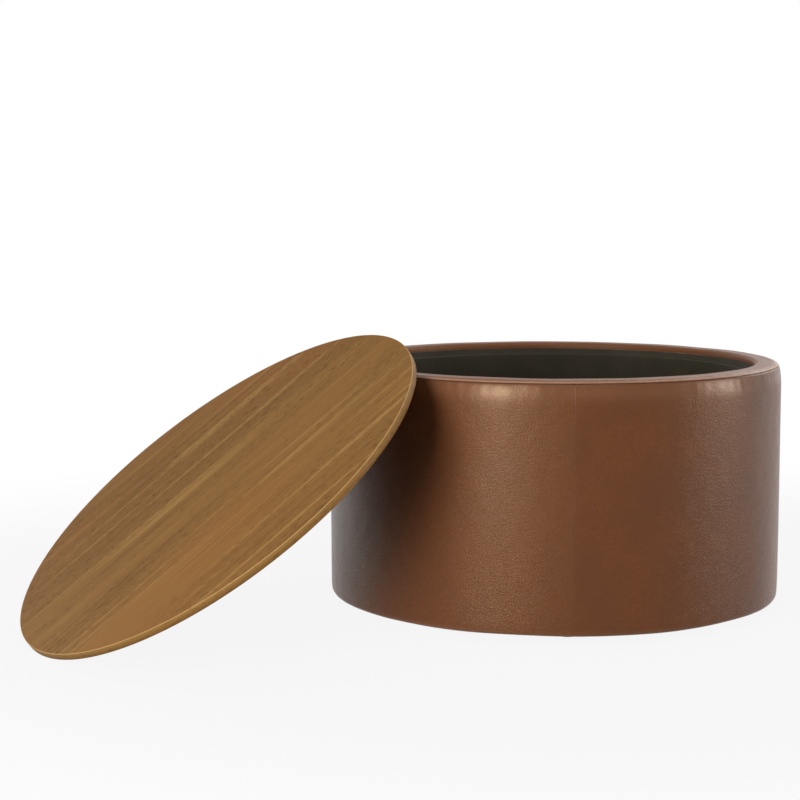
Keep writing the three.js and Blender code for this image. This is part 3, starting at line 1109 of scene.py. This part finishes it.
    def _panel(self, name: str, node: str, first: float, finish: Finish) -> None:
        """Builds one side panel.

        Args:
            name: The panel's name.
            node: The node that it replaces.
            first: The angle of its first upright seam.
            finish: The panel's leather.
        """
        low = self.full.bottom + self.bottom_round
        shoulder = self._shoulder()
        widest, start = shoulder[-1]
        heights = np.linspace(start, low, 70)[1:]
        slack = (widest - self.outer) * ((heights - low) / (start - low)) ** self.slack_fade
        wall = [(self.outer + s, z) for s, z in zip(slack, heights)]
        bend = arc((self.outer - self.bottom_round, low), self.bottom_round, 0, -90, 7)[1:]
        end = (self.outer - self.flap, self.full.bottom)
        under = line(bend[-1], end, 8)
        skin = [*shoulder, *wall, *bend, *under, end]
        panel = Turned(
            name=name,
            skin=skin,
            back=self._back(skin),
            angles=self._side_angles() + first,
            closed=False,
            relief=self._side_relief,
            masks={"ridge": self._side_ridge, "groove": self._side_groove, "taut": self._side_taut},
            below_lid=True,
        ).build()
        put(panel, Body.DRUM, finish, [node])
        size = (length_of(skin), math.pi * self.outer)

    def _side_angles(self) -> Grid:
        """Returns a side panel's columns, closer together at both its upright seams."""
        even = np.linspace(0.0, math.pi, self.columns)
        steps = np.array(self.upright_steps) * MM / self.outer
        angles = np.unique(np.concatenate([even, steps, math.pi - steps]))
        angles[0], angles[-1] = self.upright_parting, math.pi - self.upright_parting
        return angles

    def _upright_distance(self, angle: Grid) -> Grid:
        """Returns how far an angle is from the nearest upright seam, in metres round the drum."""
        away = [np.abs((angle - seam + math.pi) % (2 * math.pi) - math.pi) for seam in self.upright]
        return np.minimum(*away) * self.outer

    def _drop(self, height: Grid) -> Grid:
        """Returns how far a height is below the seam under the rim."""
        return self._round_point(self.seam_angle, 0.0)[1] - height

    def _side_relief(self, angle: Grid, radius: Grid, height: Grid) -> Grid:
        """Shapes a side panel: gathers under the seam, soft swells, creases and rolled edges."""
        drop = self._drop(height)
        away = self._upright_distance(angle)
        open_skin = np.clip(drop / self.calm_drop, 0, 1)
        near = np.exp(-drop / self.gather_reach)
        below = np.clip(drop / self.shoulder_depth, 0.1, 1)
        under = radius < self.outer - self.bottom_round
        free = 1.0 - 0.75 * under
        rise = self.gathers.at(angle, height) * near * open_skin * self.gather_height
        rise += self.swells.at(angle, height) * below * self.swell_height * free
        rise += self.creases.at(angle, height) * self.crease_height * open_skin * free
        pinch = bell(away, self.pinch_width) * bell(drop, self.pinch_reach, self.pinch_drop)
        rise -= pinch * self.pinch_depth
        roll = np.clip(1 - away / self.upright_round, 0, 1)
        rise -= (1 - np.sqrt(1 - np.minimum(roll, 0.999) ** 2)) * self.upright_depth
        hidden = under & (radius < self.outer - self.hidden_inset)
        return rise * np.where(hidden, 0.2, 1.0)

    def _side_ridge(self, angle: Grid, radius: Grid, height: Grid) -> Grid:
        """Marks the rubbed edges beside the upright seams and at the bottom."""
        away = self._upright_distance(angle)
        beside = bell(away, self.upright_rub_width, self.upright_rub) * 0.02
        foot = bell(height, self.bottom_rub_width, self.full.bottom) * 0.3
        return np.clip(beside + foot, 0, 1)

    def _side_taut(self, angle: Grid, radius: Grid, height: Grid) -> Grid:
        """Marks the shoulder under the rim, where the leather is pulled smooth over the foam and where its
        colour is lightened a little as a painted highlight.
        """
        shoulder = bell(self._drop(height), self.taut_drop, self.taut_drop)
        return shoulder * (self.swells.at(angle, height) * 0.15 + 0.85)

    def _side_groove(self, angle: Grid, radius: Grid, height: Grid) -> Grid:
        """Marks the bottoms of the seams, which are darkened as painted shade."""
        upright = bell(self._upright_distance(angle), self.upright_groove) * 0.15
        return np.clip(upright + bell(self._drop(height), self.seam_reach), 0, 1)

    def _rim_cover(self) -> None:
        """Builds the leather ring over the rim."""
        start = (self.centre[0], self.rim.top)
        end = (self.rim.inner + self.inner_round, self.rim.top)
        top = [start, *line(start, end, 6), end]
        inside = arc((end[0], end[1] - self.inner_round), self.inner_round, 90, 180, 9)[1:]
        low = (self.rim.inner, self.rim.bottom)
        skin = [*self._ridge(), *top, *inside, *line(inside[-1], low, 2), low]
        cover = Turned(
            name="rim_leather",
            skin=skin,
            back=self._back(skin, -1),
            angles=self._rim_angles(),
            relief=self._rim_relief,
            masks={"ridge": self._rim_ridge, "groove": self._rim_groove},
            below_lid=True,
        ).build()
        put(cover, Body.DRUM, RIM_LEATHER, ["rim_cover"])
        size = (length_of(skin), math.pi * (self.rim.inner + self.outer))

    def _rim_angles(self) -> Grid:
        """Returns the rim cover's columns, closer together at the upright seams."""
        steps = np.array(self.nick_steps) * MM / self.outer
        close = [seam + side * step for seam in self.upright for side in (-1, 1) for step in steps]
        return np.unique(np.mod([*full_turn(self.rim_columns), *close, *self.upright], 2 * math.pi))

    def _rim_relief(self, angle: Grid, radius: Grid, height: Grid) -> Grid:
        """Shapes the rim cover: soft swells, gathers at its edge and a nick where the seams meet."""
        outward = np.clip((radius - self.centre[0]) / self.rim_ease, 0, 1)
        away = self._upright_distance(angle)
        rise = self.swells.at(angle, height) * self.rim_swell_height
        rise += self.gathers.at(angle, height) * self.rim_gather_height * outward
        nick = bell(away, self.nick_width) - bell(away, self.nick_lip_width, self.nick_lip) / 2
        rise -= nick * self.nick_depth * outward
        inside = radius < self.rim.inner + self.lip_inset
        return np.where(inside, rise * 0.3, rise)

    def _rim_ridge(self, angle: Grid, radius: Grid, height: Grid) -> Grid:
        """Marks the ridge along the seam, whose lighter colour is partly rubbed leather and partly a
        painted highlight.
        """
        rise = height - self._round_point(self.seam_angle, 0.0)[1]
        return bell(rise, self.rub_and_highlight_width, self.rub_and_highlight_rise) * (radius > self.centre[0])

    def _rim_groove(self, angle: Grid, radius: Grid, height: Grid) -> Grid:
        """Marks the bottom of the seam, which is darkened as painted shade."""
        return bell(self._drop(height), self.rim_groove) * (radius > self.centre[0])


@dataclass
class Lining:
    """The dark fabric inside the drum: a sleeve, the neck above it and the floor."""

    wall: Span = field(default_factory=lambda: Span.of("lining_wall"))
    neck: Span = field(default_factory=lambda: Span.of("lining_band"))
    floor: Span = field(default_factory=lambda: Span.of("lining_floor"))
    cloth: float = 1.2 * MM
    edge_roll: float = 2.2 * MM
    lip: float = 5.0 * MM
    seam_allowance: float = 12.0 * MM
    fold_height: float = 0.7 * MM
    fold_depth: float = 1.0 * MM
    floor_fold_height: float = 0.5 * MM
    folds: Waves = field(default_factory=lambda: Waves(21, (3, 22), 0.35))

    def build(self) -> None:
        """Builds the three pieces of fabric."""
        self._sleeve()
        self._neck()
        self._floor()

    def _sleeve(self) -> None:
        """Builds the sleeve, with its top edge rolled over and turned down behind its board."""
        roll, inner, outer = self.edge_roll, self.wall.inner, self.wall.outer
        low, top = self.wall.bottom, self.wall.top
        near, far = (inner + roll, top - roll), (outer - roll, top - roll)
        skin = [(inner, low), *line((inner, low), (inner, top - roll), 34)]
        skin += [*arc(near, roll, 180, 90, 6), *arc(far, roll, 90, 0, 6), (outer, top - self.lip)]
        turned = roll - self.cloth
        back = [(outer - self.cloth, top - self.lip), *arc(far, turned, 0, 90, 4)]
        back += [*arc(near, turned, 90, 180, 4), (inner + self.cloth, low)]
        sleeve = Turned("lining_sleeve", skin, back, relief=self._sleeve_relief).build()
        put(sleeve, Body.DRUM, LINING, ["lining_wall"])
        size = (top - low + self.seam_allowance, 2 * math.pi * inner)

    def _sleeve_relief(self, angle: Grid, radius: Grid, height: Grid) -> Grid:
        """Lets the fabric stand a little off its board in soft folds."""
        inside = radius < self.wall.inner + self.fold_depth
        lift = (self.folds.at(angle, height) * 0.5 + 0.5) * self.fold_height
        return lift * np.where(inside, 1.0, 0.15)

    def _neck(self) -> None:
        """Builds the fabric band between the leather and the sleeve."""
        inner, outer = self.neck.inner, self.neck.outer
        rise = line((inner, self.neck.bottom), (inner, self.neck.top), 6)
        skin = [(inner, self.neck.bottom), *rise, (inner, self.neck.top)]
        band = Turned("lining_neck", skin, [(outer, self.neck.top), (outer, self.neck.bottom)]).build()
        put(band, Body.DRUM, BAND, ["lining_band"])
        size = (self.neck.top - self.neck.bottom, 2 * math.pi * inner)

    def _floor(self) -> None:
        """Builds the fabric on the floor of the well, a little slack."""
        edge = self.floor.outer
        start, end = (0.0, self.floor.top), (edge, self.floor.top)
        skin = [start, *line(start, end, 40), end]
        back = [(edge, self.floor.bottom), (0.0, self.floor.bottom)]
        cloth = Turned("lining_bottom", skin, back, relief=self._floor_relief, flat_map=True).build()
        put(cloth, Body.DRUM, LINING, ["lining_floor"])
        area = math.pi * edge**2
        2 * edge
        2 * edge

    def _floor_relief(self, angle: Grid, radius: Grid, height: Grid) -> Grid:
        """Lets the cloth on the floor lie in low folds, higher towards its edge."""
        lift = np.abs(self.folds.at(angle, radius)) * self.floor_fold_height
        return lift * radius / self.floor.outer


@dataclass
class Underside:
    """What is under the drum: a stapled dust cover and the feet."""

    cloth: Span = field(default_factory=lambda: Span.of("dust_cover"))
    base: Span = field(default_factory=lambda: Span.of("base_board"))
    first_foot: float = SEAM_ANGLE
    foot_radius: float = 20.0 * MM
    foot_top_radius: float = 17.0 * MM
    foot_height: float = 16.0 * MM
    foot_edge: float = 1.5 * MM
    foot_ease: float = 1.0 * MM
    dish_radius: float = 10.0 * MM
    dish_depth: float = 1.2 * MM
    dish_slope: float = 2.0 * MM
    stem_radius: float = 4.0 * MM
    stem_depth: float = 8.0 * MM
    stem_chamfer: float = 1.0 * MM
    feet_circle: float = 300.0 * MM
    feet: int = 6
    hem: float = 0.4 * MM
    pucker: float = 0.2 * MM
    staples: int = 72
    staple_span: float = 11.0 * MM
    staple_wire: float = 1.0 * MM
    staple_leg: float = 4.5 * MM
    staple_inset: float = 6.0 * MM
    waves: Waves = field(default_factory=lambda: Waves(31, (6, 40), 0.2))

    def build(self, copies: RingCopies) -> None:
        """Builds the dust cover, its staples and the feet."""
        self._dust_cover()
        self._staples(copies)
        self._feet(copies)

    def _dust_cover(self) -> None:
        """Builds the thin fabric under the base, with its edge turned under."""
        edge, low, high = self.cloth.outer, self.cloth.bottom, self.cloth.top
        skin = [(0.0, low), *line((0.0, low), (edge, low), 44)]
        skin += arc((edge - self.hem, low + self.hem), self.hem, -90, 90, 5)
        back = [(0.0, high)]
        cloth = Turned("underside_cloth", skin, back, relief=self._dust_relief, flat_map=True).build()
        put(cloth, Body.DRUM, DUST, ["dust_cover"])
        area = math.pi * edge**2
        2 * edge
        2 * edge

    def _dust_relief(self, angle: Grid, radius: Grid, height: Grid) -> Grid:
        """Puckers the thin cloth a little, always inwards, and more towards its edge."""
        return -np.abs(self.waves.at(angle, radius)) * self.pucker * radius / self.cloth.outer

    def _staples(self, copies: RingCopies) -> None:
        """Builds the staples that hold the dust cover's edge."""
        half, wire, bend = self.staple_span / 2, self.staple_wire, self.staple_wire / 2
        path = [(-half, self.staple_leg), (-half, bend), (-half + bend, 0.0)]
        path += [(-y, z) for y, z in reversed(path)]
        work = bmesh.new()
        across = Vector((wire / 2, 0, 0))
        rings = []
        for i, (y, z) in enumerate(path):
            before, after = path[max(i - 1, 0)], path[min(i + 1, len(path) - 1)]
            way = Vector((0, after[0] - before[0], after[1] - before[1])).normalized()
            side = Vector((0, -way.z, way.y)) * wire / 4
            corners = (across + side, across - side, -across - side, -across + side)
            rings.append([work.verts.new(Vector((0, y, z)) + corner) for corner in corners])
        for first, second in zip(rings, rings[1:]):
            for j in range(4):
                work.faces.new((first[j], first[(j + 1) % 4], second[(j + 1) % 4], second[j]))
        work.faces.new(rings[0])
        work.faces.new(rings[-1])
        bmesh.ops.recalc_face_normals(work, faces=work.faces)
        mesh = bpy.data.meshes.new("staple")
        work.to_mesh(mesh)
        work.free()
        staple = finish_mesh("staple_shape", mesh)
        proud = self.cloth.bottom - self.staple_wire / 5
        staple.data.transform(Matrix.Translation((0, 0, proud)))
        circle = self.cloth.outer - self.staple_inset
        done = copies.make("staples", staple, STEEL, self.staples, circle)
        put(done, Body.DRUM, STEEL)

    def _feet(self, copies: RingCopies) -> None:
        """Builds the round plastic feet, with a stem each and a dished sole."""
        top, rim, stem = self.foot_height, self.foot_top_radius, self.stem_radius
        shoulder, stem_top = top - self.foot_ease, self.base.bottom + self.stem_depth
        dish = (self.dish_radius, self.dish_depth)
        profile = [(0.0, self.dish_depth), *line((0.0, self.dish_depth), dish, 2), dish]
        profile += [(self.dish_radius + self.dish_slope, 0.0)]
        edge, chamfer = self.foot_edge, self.stem_chamfer
        profile += arc((self.foot_radius - edge, edge), edge, -90, 0, 5)
        profile += [*line(profile[-1], (rim, shoulder), 3), (rim, shoulder)]
        profile += arc((rim - self.foot_ease, shoulder), self.foot_ease, 0, 90, 4)
        profile += [(stem, top), (stem, stem_top - chamfer), (stem - chamfer, stem_top)]
        profile += [(0.0, stem_top)]
        foot = Turned("foot_shape", profile, angles=full_turn(28)).build()
        feet = copies.make(
            "feet", foot, PLASTIC, self.feet, self.feet_circle, self.first_foot, middle=1
        )
        put(feet, Body.DRUM, PLASTIC, ["foot_centre", *numbered("foot", self.feet)])


@dataclass
class Padding:
    """The foam under the leather, on the wall and round the rim."""

    wall: Span = field(default_factory=lambda: Span.of("wall_foam"))
    rim: Span = field(default_factory=lambda: Span.of("rim_foam"))
    outer_round: float = 13.3 * MM
    inner_round: float = 5.3 * MM
    sewn_low: Point = (3.4 * MM, 0.0)
    sewn_high: Point = (2.2 * MM, 2.0 * MM)
    shoulder_low: Point = (0.0, 34.0 * MM)
    shoulder_high: Point = (1.2 * MM, 16.0 * MM)
    top_inset: float = 6.2 * MM
    top_round: float = 3.0 * MM
    soft: float = 2.0 * MM

    def build(self) -> None:
        """Builds both foam rings."""
        self._wall_ring()
        self._rim_ring()

    def _wall_ring(self) -> None:
        """Builds the foam round the wall, with its top drawn in under the seam."""
        wall, soft = self.wall, self.soft
        low = arc((wall.outer - soft, wall.bottom + soft), soft, -90, 0, 4)
        shoulder = [
            (wall.outer - inset, wall.top - drop) for inset, drop in (self.shoulder_low, self.shoulder_high)
        ]
        centre = (wall.outer - self.top_inset, wall.top - self.top_round)
        outside = [*low, *shoulder, *arc(centre, self.top_round, 0, 90, 4)]
        inside = arc((wall.inner + soft, wall.top - soft), soft, 90, 180, 4)
        inside += arc((wall.inner + soft, wall.bottom + soft), soft, 180, 270, 4)
        self._add("wall_padding", outside + inside, "wall_foam")

    def _rim_ring(self) -> None:
        """Builds the foam round the rim."""
        rim = self.rim
        sewn = [
            (rim.outer - inset, rim.bottom + rise) for inset, rise in (self.sewn_low, self.sewn_high)
        ]
        outer = arc((rim.outer - self.outer_round, rim.bottom), self.outer_round, 18, 90, 10)
        centre = (rim.inner + self.inner_round, rim.top - self.inner_round)
        inner = arc(centre, self.inner_round, 90, 180, 6)
        self._add("rim_padding", [(rim.inner, rim.bottom), *sewn, *outer, *inner], "rim_foam")

    def _add(self, name: str, profile: Profile, node: str) -> None:
        ring = Turned(name, profile, angles=full_turn(200)).build()
        put(ring, Body.DRUM, FOAM, [node])


# ---------------------------------------------------------------------------------------------
# The lid


@dataclass
class Lid:
    """The loose lid: a core between two veneers, an edge band, and cleats screwed on under it."""

    veneer: float = 0.6 * MM
    joint: float = 0.04 * MM
    veneer_ease: float = 0.12 * MM
    arris: float = 0.7 * MM
    light_arris: float = 0.6 * MM
    dark_arris: float = 0.9 * MM
    cleats: int = 4
    cleat_thickness: float = 15.3 * MM
    cleat_circle: float = 335.0 * MM
    cleat_ease: float = 0.8 * MM
    screw_spacing: float = 70.0 * MM
    screw_head: float = 3.5 * MM
    screw_head_height: float = 2.2 * MM
    screw_shank: float = 1.6 * MM
    screw_length: float = 20.5 * MM
    screw_sink: float = 0.3 * MM
    band: Span = field(default_factory=lambda: Span.of("lid_edge_band", LID_AXES))

    def build(self, copies: RingCopies) -> None:
        """Builds the lid's visible pieces."""
        self._faces()
        self._edge_band()
        self._cleats(copies)

    def _settle(self, piece: bpy.types.Object) -> bpy.types.Object:
        """Moves a piece from the lid's own axes to its place, in its mesh."""
        piece.data.transform(LID_AXES)
        return piece

    def _faces(self) -> None:
        """Builds the veneers of the top and the underside."""
        edge = self.band.inner - self.joint
        fine = self.veneer_ease
        for name, node, low, high in (
            ("lid_face", "lid_top_veneer", self.band.top - self.veneer, self.band.top),
            ("lid_underface", "lid_back_veneer", 0.0, self.veneer),
        ):
            skin = [(0.0, low), *line((0.0, low), (edge, low), 6), (edge, low + fine), (edge, high - fine)]
            skin += [(edge - fine, high), *line((edge - fine, high), (0.0, high), 6), (0.0, high)]
            face = self._settle(Turned(name, skin, angles=full_turn(360)).build())
            put(face, Body.LID, VENEER, [node])

    def _edge_band(self) -> None:
        """Builds the band round the lid, with its arrises eased."""
        inner, outer = self.band.inner, self.band.outer
        low, high, ease = self.band.bottom, self.band.top, self.arris
        outside = arc((outer - ease, low + ease), ease, -90, 0, 6)
        outside += arc((outer - ease, high - ease), ease, 0, 90, 6)
        profile = [(inner, low), *outside, (inner, high)]
        masks = {"ridge": self._top_arris, "groove": self._low_arris}
        band = self._settle(Turned("lid_edge", profile, angles=full_turn(360), masks=masks).build())
        put(band, Body.LID, EDGE, ["lid_edge_band"])

    def _top_arris(self, angle: Grid, radius: Grid, height: Grid) -> Grid:
        """Marks the arris round the top, which is lightened as a painted highlight and a worn edge."""
        near = self.band.top - height + np.clip(self.band.outer - radius - self.arris, 0, None)
        return bell(near, self.light_arris) * 0.75

    def _low_arris(self, angle: Grid, radius: Grid, height: Grid) -> Grid:
        """Marks the arris round the underside, which is darkened as painted shade."""
        return bell(height, self.dark_arris, self.band.bottom) * 0.6

    def _cleats(self, copies: RingCopies) -> None:
        """Builds the cleats and their screws."""
        for i in range(self.cleats):
            node = f"lid_cleat_{i + 1}"
            cleat = softened(node, f"cleat_{i + 1}", self.cleat_ease)
            put(cleat, Body.LID, PLYWOOD, [node])
        screw = build_screw(
            self.screw_head, self.screw_shank, self.screw_head_height, self.screw_length
        )
        down = Matrix.Rotation(math.pi, 4, "X")
        sunk = Matrix.Translation((0, 0, self.screw_sink - self.cleat_thickness))
        screw.data.transform(sunk @ down)
        spread = self.screw_spacing / self.cleat_circle
        turn = math.pi / self.cleats
        pairs = copies.make(
            "cleat_screws", screw, STEEL, self.cleats, self.cleat_circle, turn, 2, spread
        )
        nodes = numbered("cleat_screw", 2 * self.cleats)
        put(self._settle(pairs), Body.LID, STEEL, nodes)


def build_screw(head: float, shank: float, head_height: float, length: float) -> bpy.types.Object:
    """Builds a countersunk screw with a cross recess.

    The head's face is at Z = 0 and the shank runs down.

    Args:
        head: The head's radius.
        shank: The shank's radius.
        head_height: The head's height.
        length: The screw's length.

    Returns:
        The screw.
    """
    sides = 16
    arm, half, depth = head * 0.62, head * 0.13, head_height * 0.6
    corner = [(arm, half), (half, half), (half, arm)]
    outline = []
    for quarter in range(4):
        turn = Matrix.Rotation(quarter * math.pi / 2, 3, "Z")
        outline += [turn @ Vector((x, y, 0.0)) for x, y in corner]
    work = bmesh.new()
    rim, point, tip = 0.2 * MM, 3.0 * MM, 0.25 * MM
    levels = [(head, 0.0), (head, -rim), (shank, -head_height)]
    levels += [(shank, -length + point), (tip, -length)]
    rings = [
        [work.verts.new((r * math.cos(a), r * math.sin(a), z)) for a in full_turn(sides)]
        for r, z in levels
    ]
    for upper, lower in zip(rings, rings[1:]):
        for j in range(sides):
            work.faces.new((upper[j], upper[(j + 1) % sides], lower[(j + 1) % sides], lower[j]))
    work.faces.new(rings[-1])
    mouth = [work.verts.new(point) for point in outline]
    foot = [work.verts.new((point.x * 0.6, point.y * 0.6, -depth)) for point in outline]
    for j in range(len(mouth)):
        k = (j + 1) % len(mouth)
        work.faces.new((mouth[j], mouth[k], foot[k], foot[j]))
    work.faces.new(foot)
    edges = [
        work.edges.get((loop[j], loop[(j + 1) % len(loop)]))
        for loop in (rings[0], mouth)
        for j in range(len(loop))
    ]
    bmesh.ops.triangle_fill(work, edges=edges, use_beauty=True)
    bmesh.ops.recalc_face_normals(work, faces=work.faces)
    mesh = bpy.data.meshes.new("screw")
    work.to_mesh(mesh)
    work.free()
    return finish_mesh("screw_shape", mesh, 30.0)


# ---------------------------------------------------------------------------------------------
# The frame's own nodes and the studio


@dataclass
class Carcass:
    """The hidden wood, boards and screws, which keep the frame's own shapes."""

    battens: int = 6

    def dress(self) -> None:
        """Gives each of the nodes that stay its finish."""
        kept = dict.fromkeys(["base_board", "top_ring", *numbered("batten", self.battens)], PLYWOOD)
        kept |= dict.fromkeys(["outer_wall", "liner_board", "floor_panel"], HARDBOARD)
        for screws in ("base_screw", "ring_screw"):
            kept |= dict.fromkeys(numbered(screws, self.battens), STEEL)
        kept["lid_core"] = CORE
        for name, finish in kept.items():
            node = frame["nodes"][name]
            node.data.materials.clear()
            node.data.materials.append(finish.material())
            LOG.info("%s keeps its shape, in %s", name, finish.name)


@dataclass(frozen=True)
class Lamp:
    """A soft rectangular lamp that points at the drum."""

    name: str
    azimuth: float
    height: float
    distance: float
    size: tuple[float, float]
    power: float
    aim: tuple[float, float, float] = (0.0, 0.0, 0.2)

    def add(self) -> None:
        """Puts the lamp in the scene."""
        data = bpy.data.lights.new(self.name, "AREA")
        data.shape = "RECTANGLE"
        data.size, data.size_y = self.size
        data.energy = self.power
        lamp = add_object(self.name, data)
        turn = math.radians(self.azimuth)
        place = (self.distance * math.cos(turn), self.distance * math.sin(turn), self.height)
        lamp.location = place
        ahead = Vector(self.aim) - Vector(place)
        lamp.rotation_euler = ahead.to_track_quat("-Z", "Y").to_euler()


@dataclass
class Studio:
    """A white floor and surroundings, soft lamps and the camera."""

    camera_place: tuple[float, float, float] = (-1.7585, -2.9618, 0.7383)
    pan: float = -0.0795
    dip: float = 0.1113
    row_turn: float = math.radians(-30.70)
    lens: float = 87.43
    film_width: float = 36.0
    far_end: float = 100.0
    sky: float = 0.06
    floor_reach: float = 14.0
    floor_glow: float = 0.9
    floor_grey: Colour = (0.35, 0.35, 0.35, 1.0)
    pool: tuple[float, float] = (0.8, 2.0)
    lamps: tuple[Lamp, ...] = (
        Lamp("left_softbox", 215.0, 1.0, 3.8, (1.1, 1.7), 140.0),
        Lamp("right_softbox", 327.0, 1.0, 3.8, (0.95, 1.6), 74.0),
        Lamp("back_softbox", 122.0, 0.45, 3.6, (1.8, 0.8), 13.0),
        Lamp("far_softbox", 26.0, 1.9, 3.2, (2.4, 1.4), 34.0),
        Lamp("top_softbox", 250.0, 3.2, 0.6, (2.2, 2.2), 34.0),
    )

    def build(self) -> None:
        """Builds the studio."""
        bpy.context.scene.view_settings.view_transform = "Standard"
        self._floor()
        self._world()
        for lamp in self.lamps:
            lamp.add()
        self._camera()

    def _seen(self, graph: Graph) -> Value:
        """Returns 1 for what the camera, a glossy surface or a clear one sees, and 0 for soft light."""
        path = graph.node("ShaderNodeLightPath")
        rays = ("Is Camera Ray", "Is Glossy Ray", "Is Transmission Ray")
        first, second, third = [graph.value(path, ray) for ray in rays]
        return first.math("MAXIMUM", second).math("MAXIMUM", third)

    def _floor(self) -> None:
        """Builds the floor, which is white but keeps a soft shadow."""
        mesh = bpy.data.meshes.new("floor")
        far = self.floor_reach
        corners = [(-far, -far, 0), (far, -far, 0), (far, far, 0), (-far, far, 0)]
        mesh.from_pydata(corners, [], [(0, 1, 2, 3)])
        add_object("floor", mesh)
        made = bpy.data.materials.new("floor_paint")
        made.use_nodes = True
        graph = Graph(made.node_tree)
        matte = graph.out("ShaderNodeBsdfDiffuse", None, {"Color": self.floor_grey})
        glow = graph.out("ShaderNodeEmission", None, {"Color": WHITE, "Strength": 1.0})
        split = graph.node("ShaderNodeSeparateXYZ", None, {"Vector": graph.place([1.0] * 3)})
        away = (graph.value(split, "X") ** 2.0 + graph.value(split, "Y") ** 2.0) ** 0.5
        bright = away.ramp(*self.pool) * (1.0 - self.floor_glow) + self.floor_glow
        inputs = {0: self._seen(graph) * bright, 1: matte, 2: glow}
        mixed = graph.node("ShaderNodeMixShader", None, inputs)
        graph.node("ShaderNodeOutputMaterial", None, {"Surface": graph.value(mixed)})
        mesh.materials.append(made)

    def _world(self) -> None:
        """Builds the surroundings: white where they are seen, and softer as a light."""
        world = bpy.data.worlds.new("surroundings")
        world.use_nodes = True
        graph = Graph(world.node_tree)
        strength = self._seen(graph) * (1.0 - self.sky) + self.sky
        inputs = {"Color": WHITE, "Strength": strength}
        background = graph.node("ShaderNodeBackground", None, inputs)
        graph.node("ShaderNodeOutputWorld", None, {"Surface": graph.value(background)})
        bpy.context.scene.world = world

    def _camera(self) -> None:
        """Builds the camera."""
        data = bpy.data.cameras.new("camera")
        data.lens = self.lens
        data.sensor_width = self.film_width
        data.clip_end = self.far_end
        camera = add_object("camera", data)
        camera.location = self.camera_place
        level = math.cos(self.dip)
        ahead = Vector((math.sin(self.pan) * level, math.cos(self.pan) * level, -math.sin(self.dip)))
        ahead.rotate(Matrix.Rotation(self.row_turn, 3, "Z"))
        camera.rotation_euler = ahead.to_track_quat("-Z", "Y").to_euler()
        bpy.context.scene.camera = camera


def main() -> None:
    """Builds the ottoman and its studio."""
    logging.basicConfig(level=logging.INFO, format="%(message)s")
    copies = RingCopies()
    Cover().build()
    Lining().build()
    Padding().build()
    Underside().build(copies)
    Lid().build(copies)
    Carcass().dress()
    Studio().build()


if __name__ == "__main__":
    main()
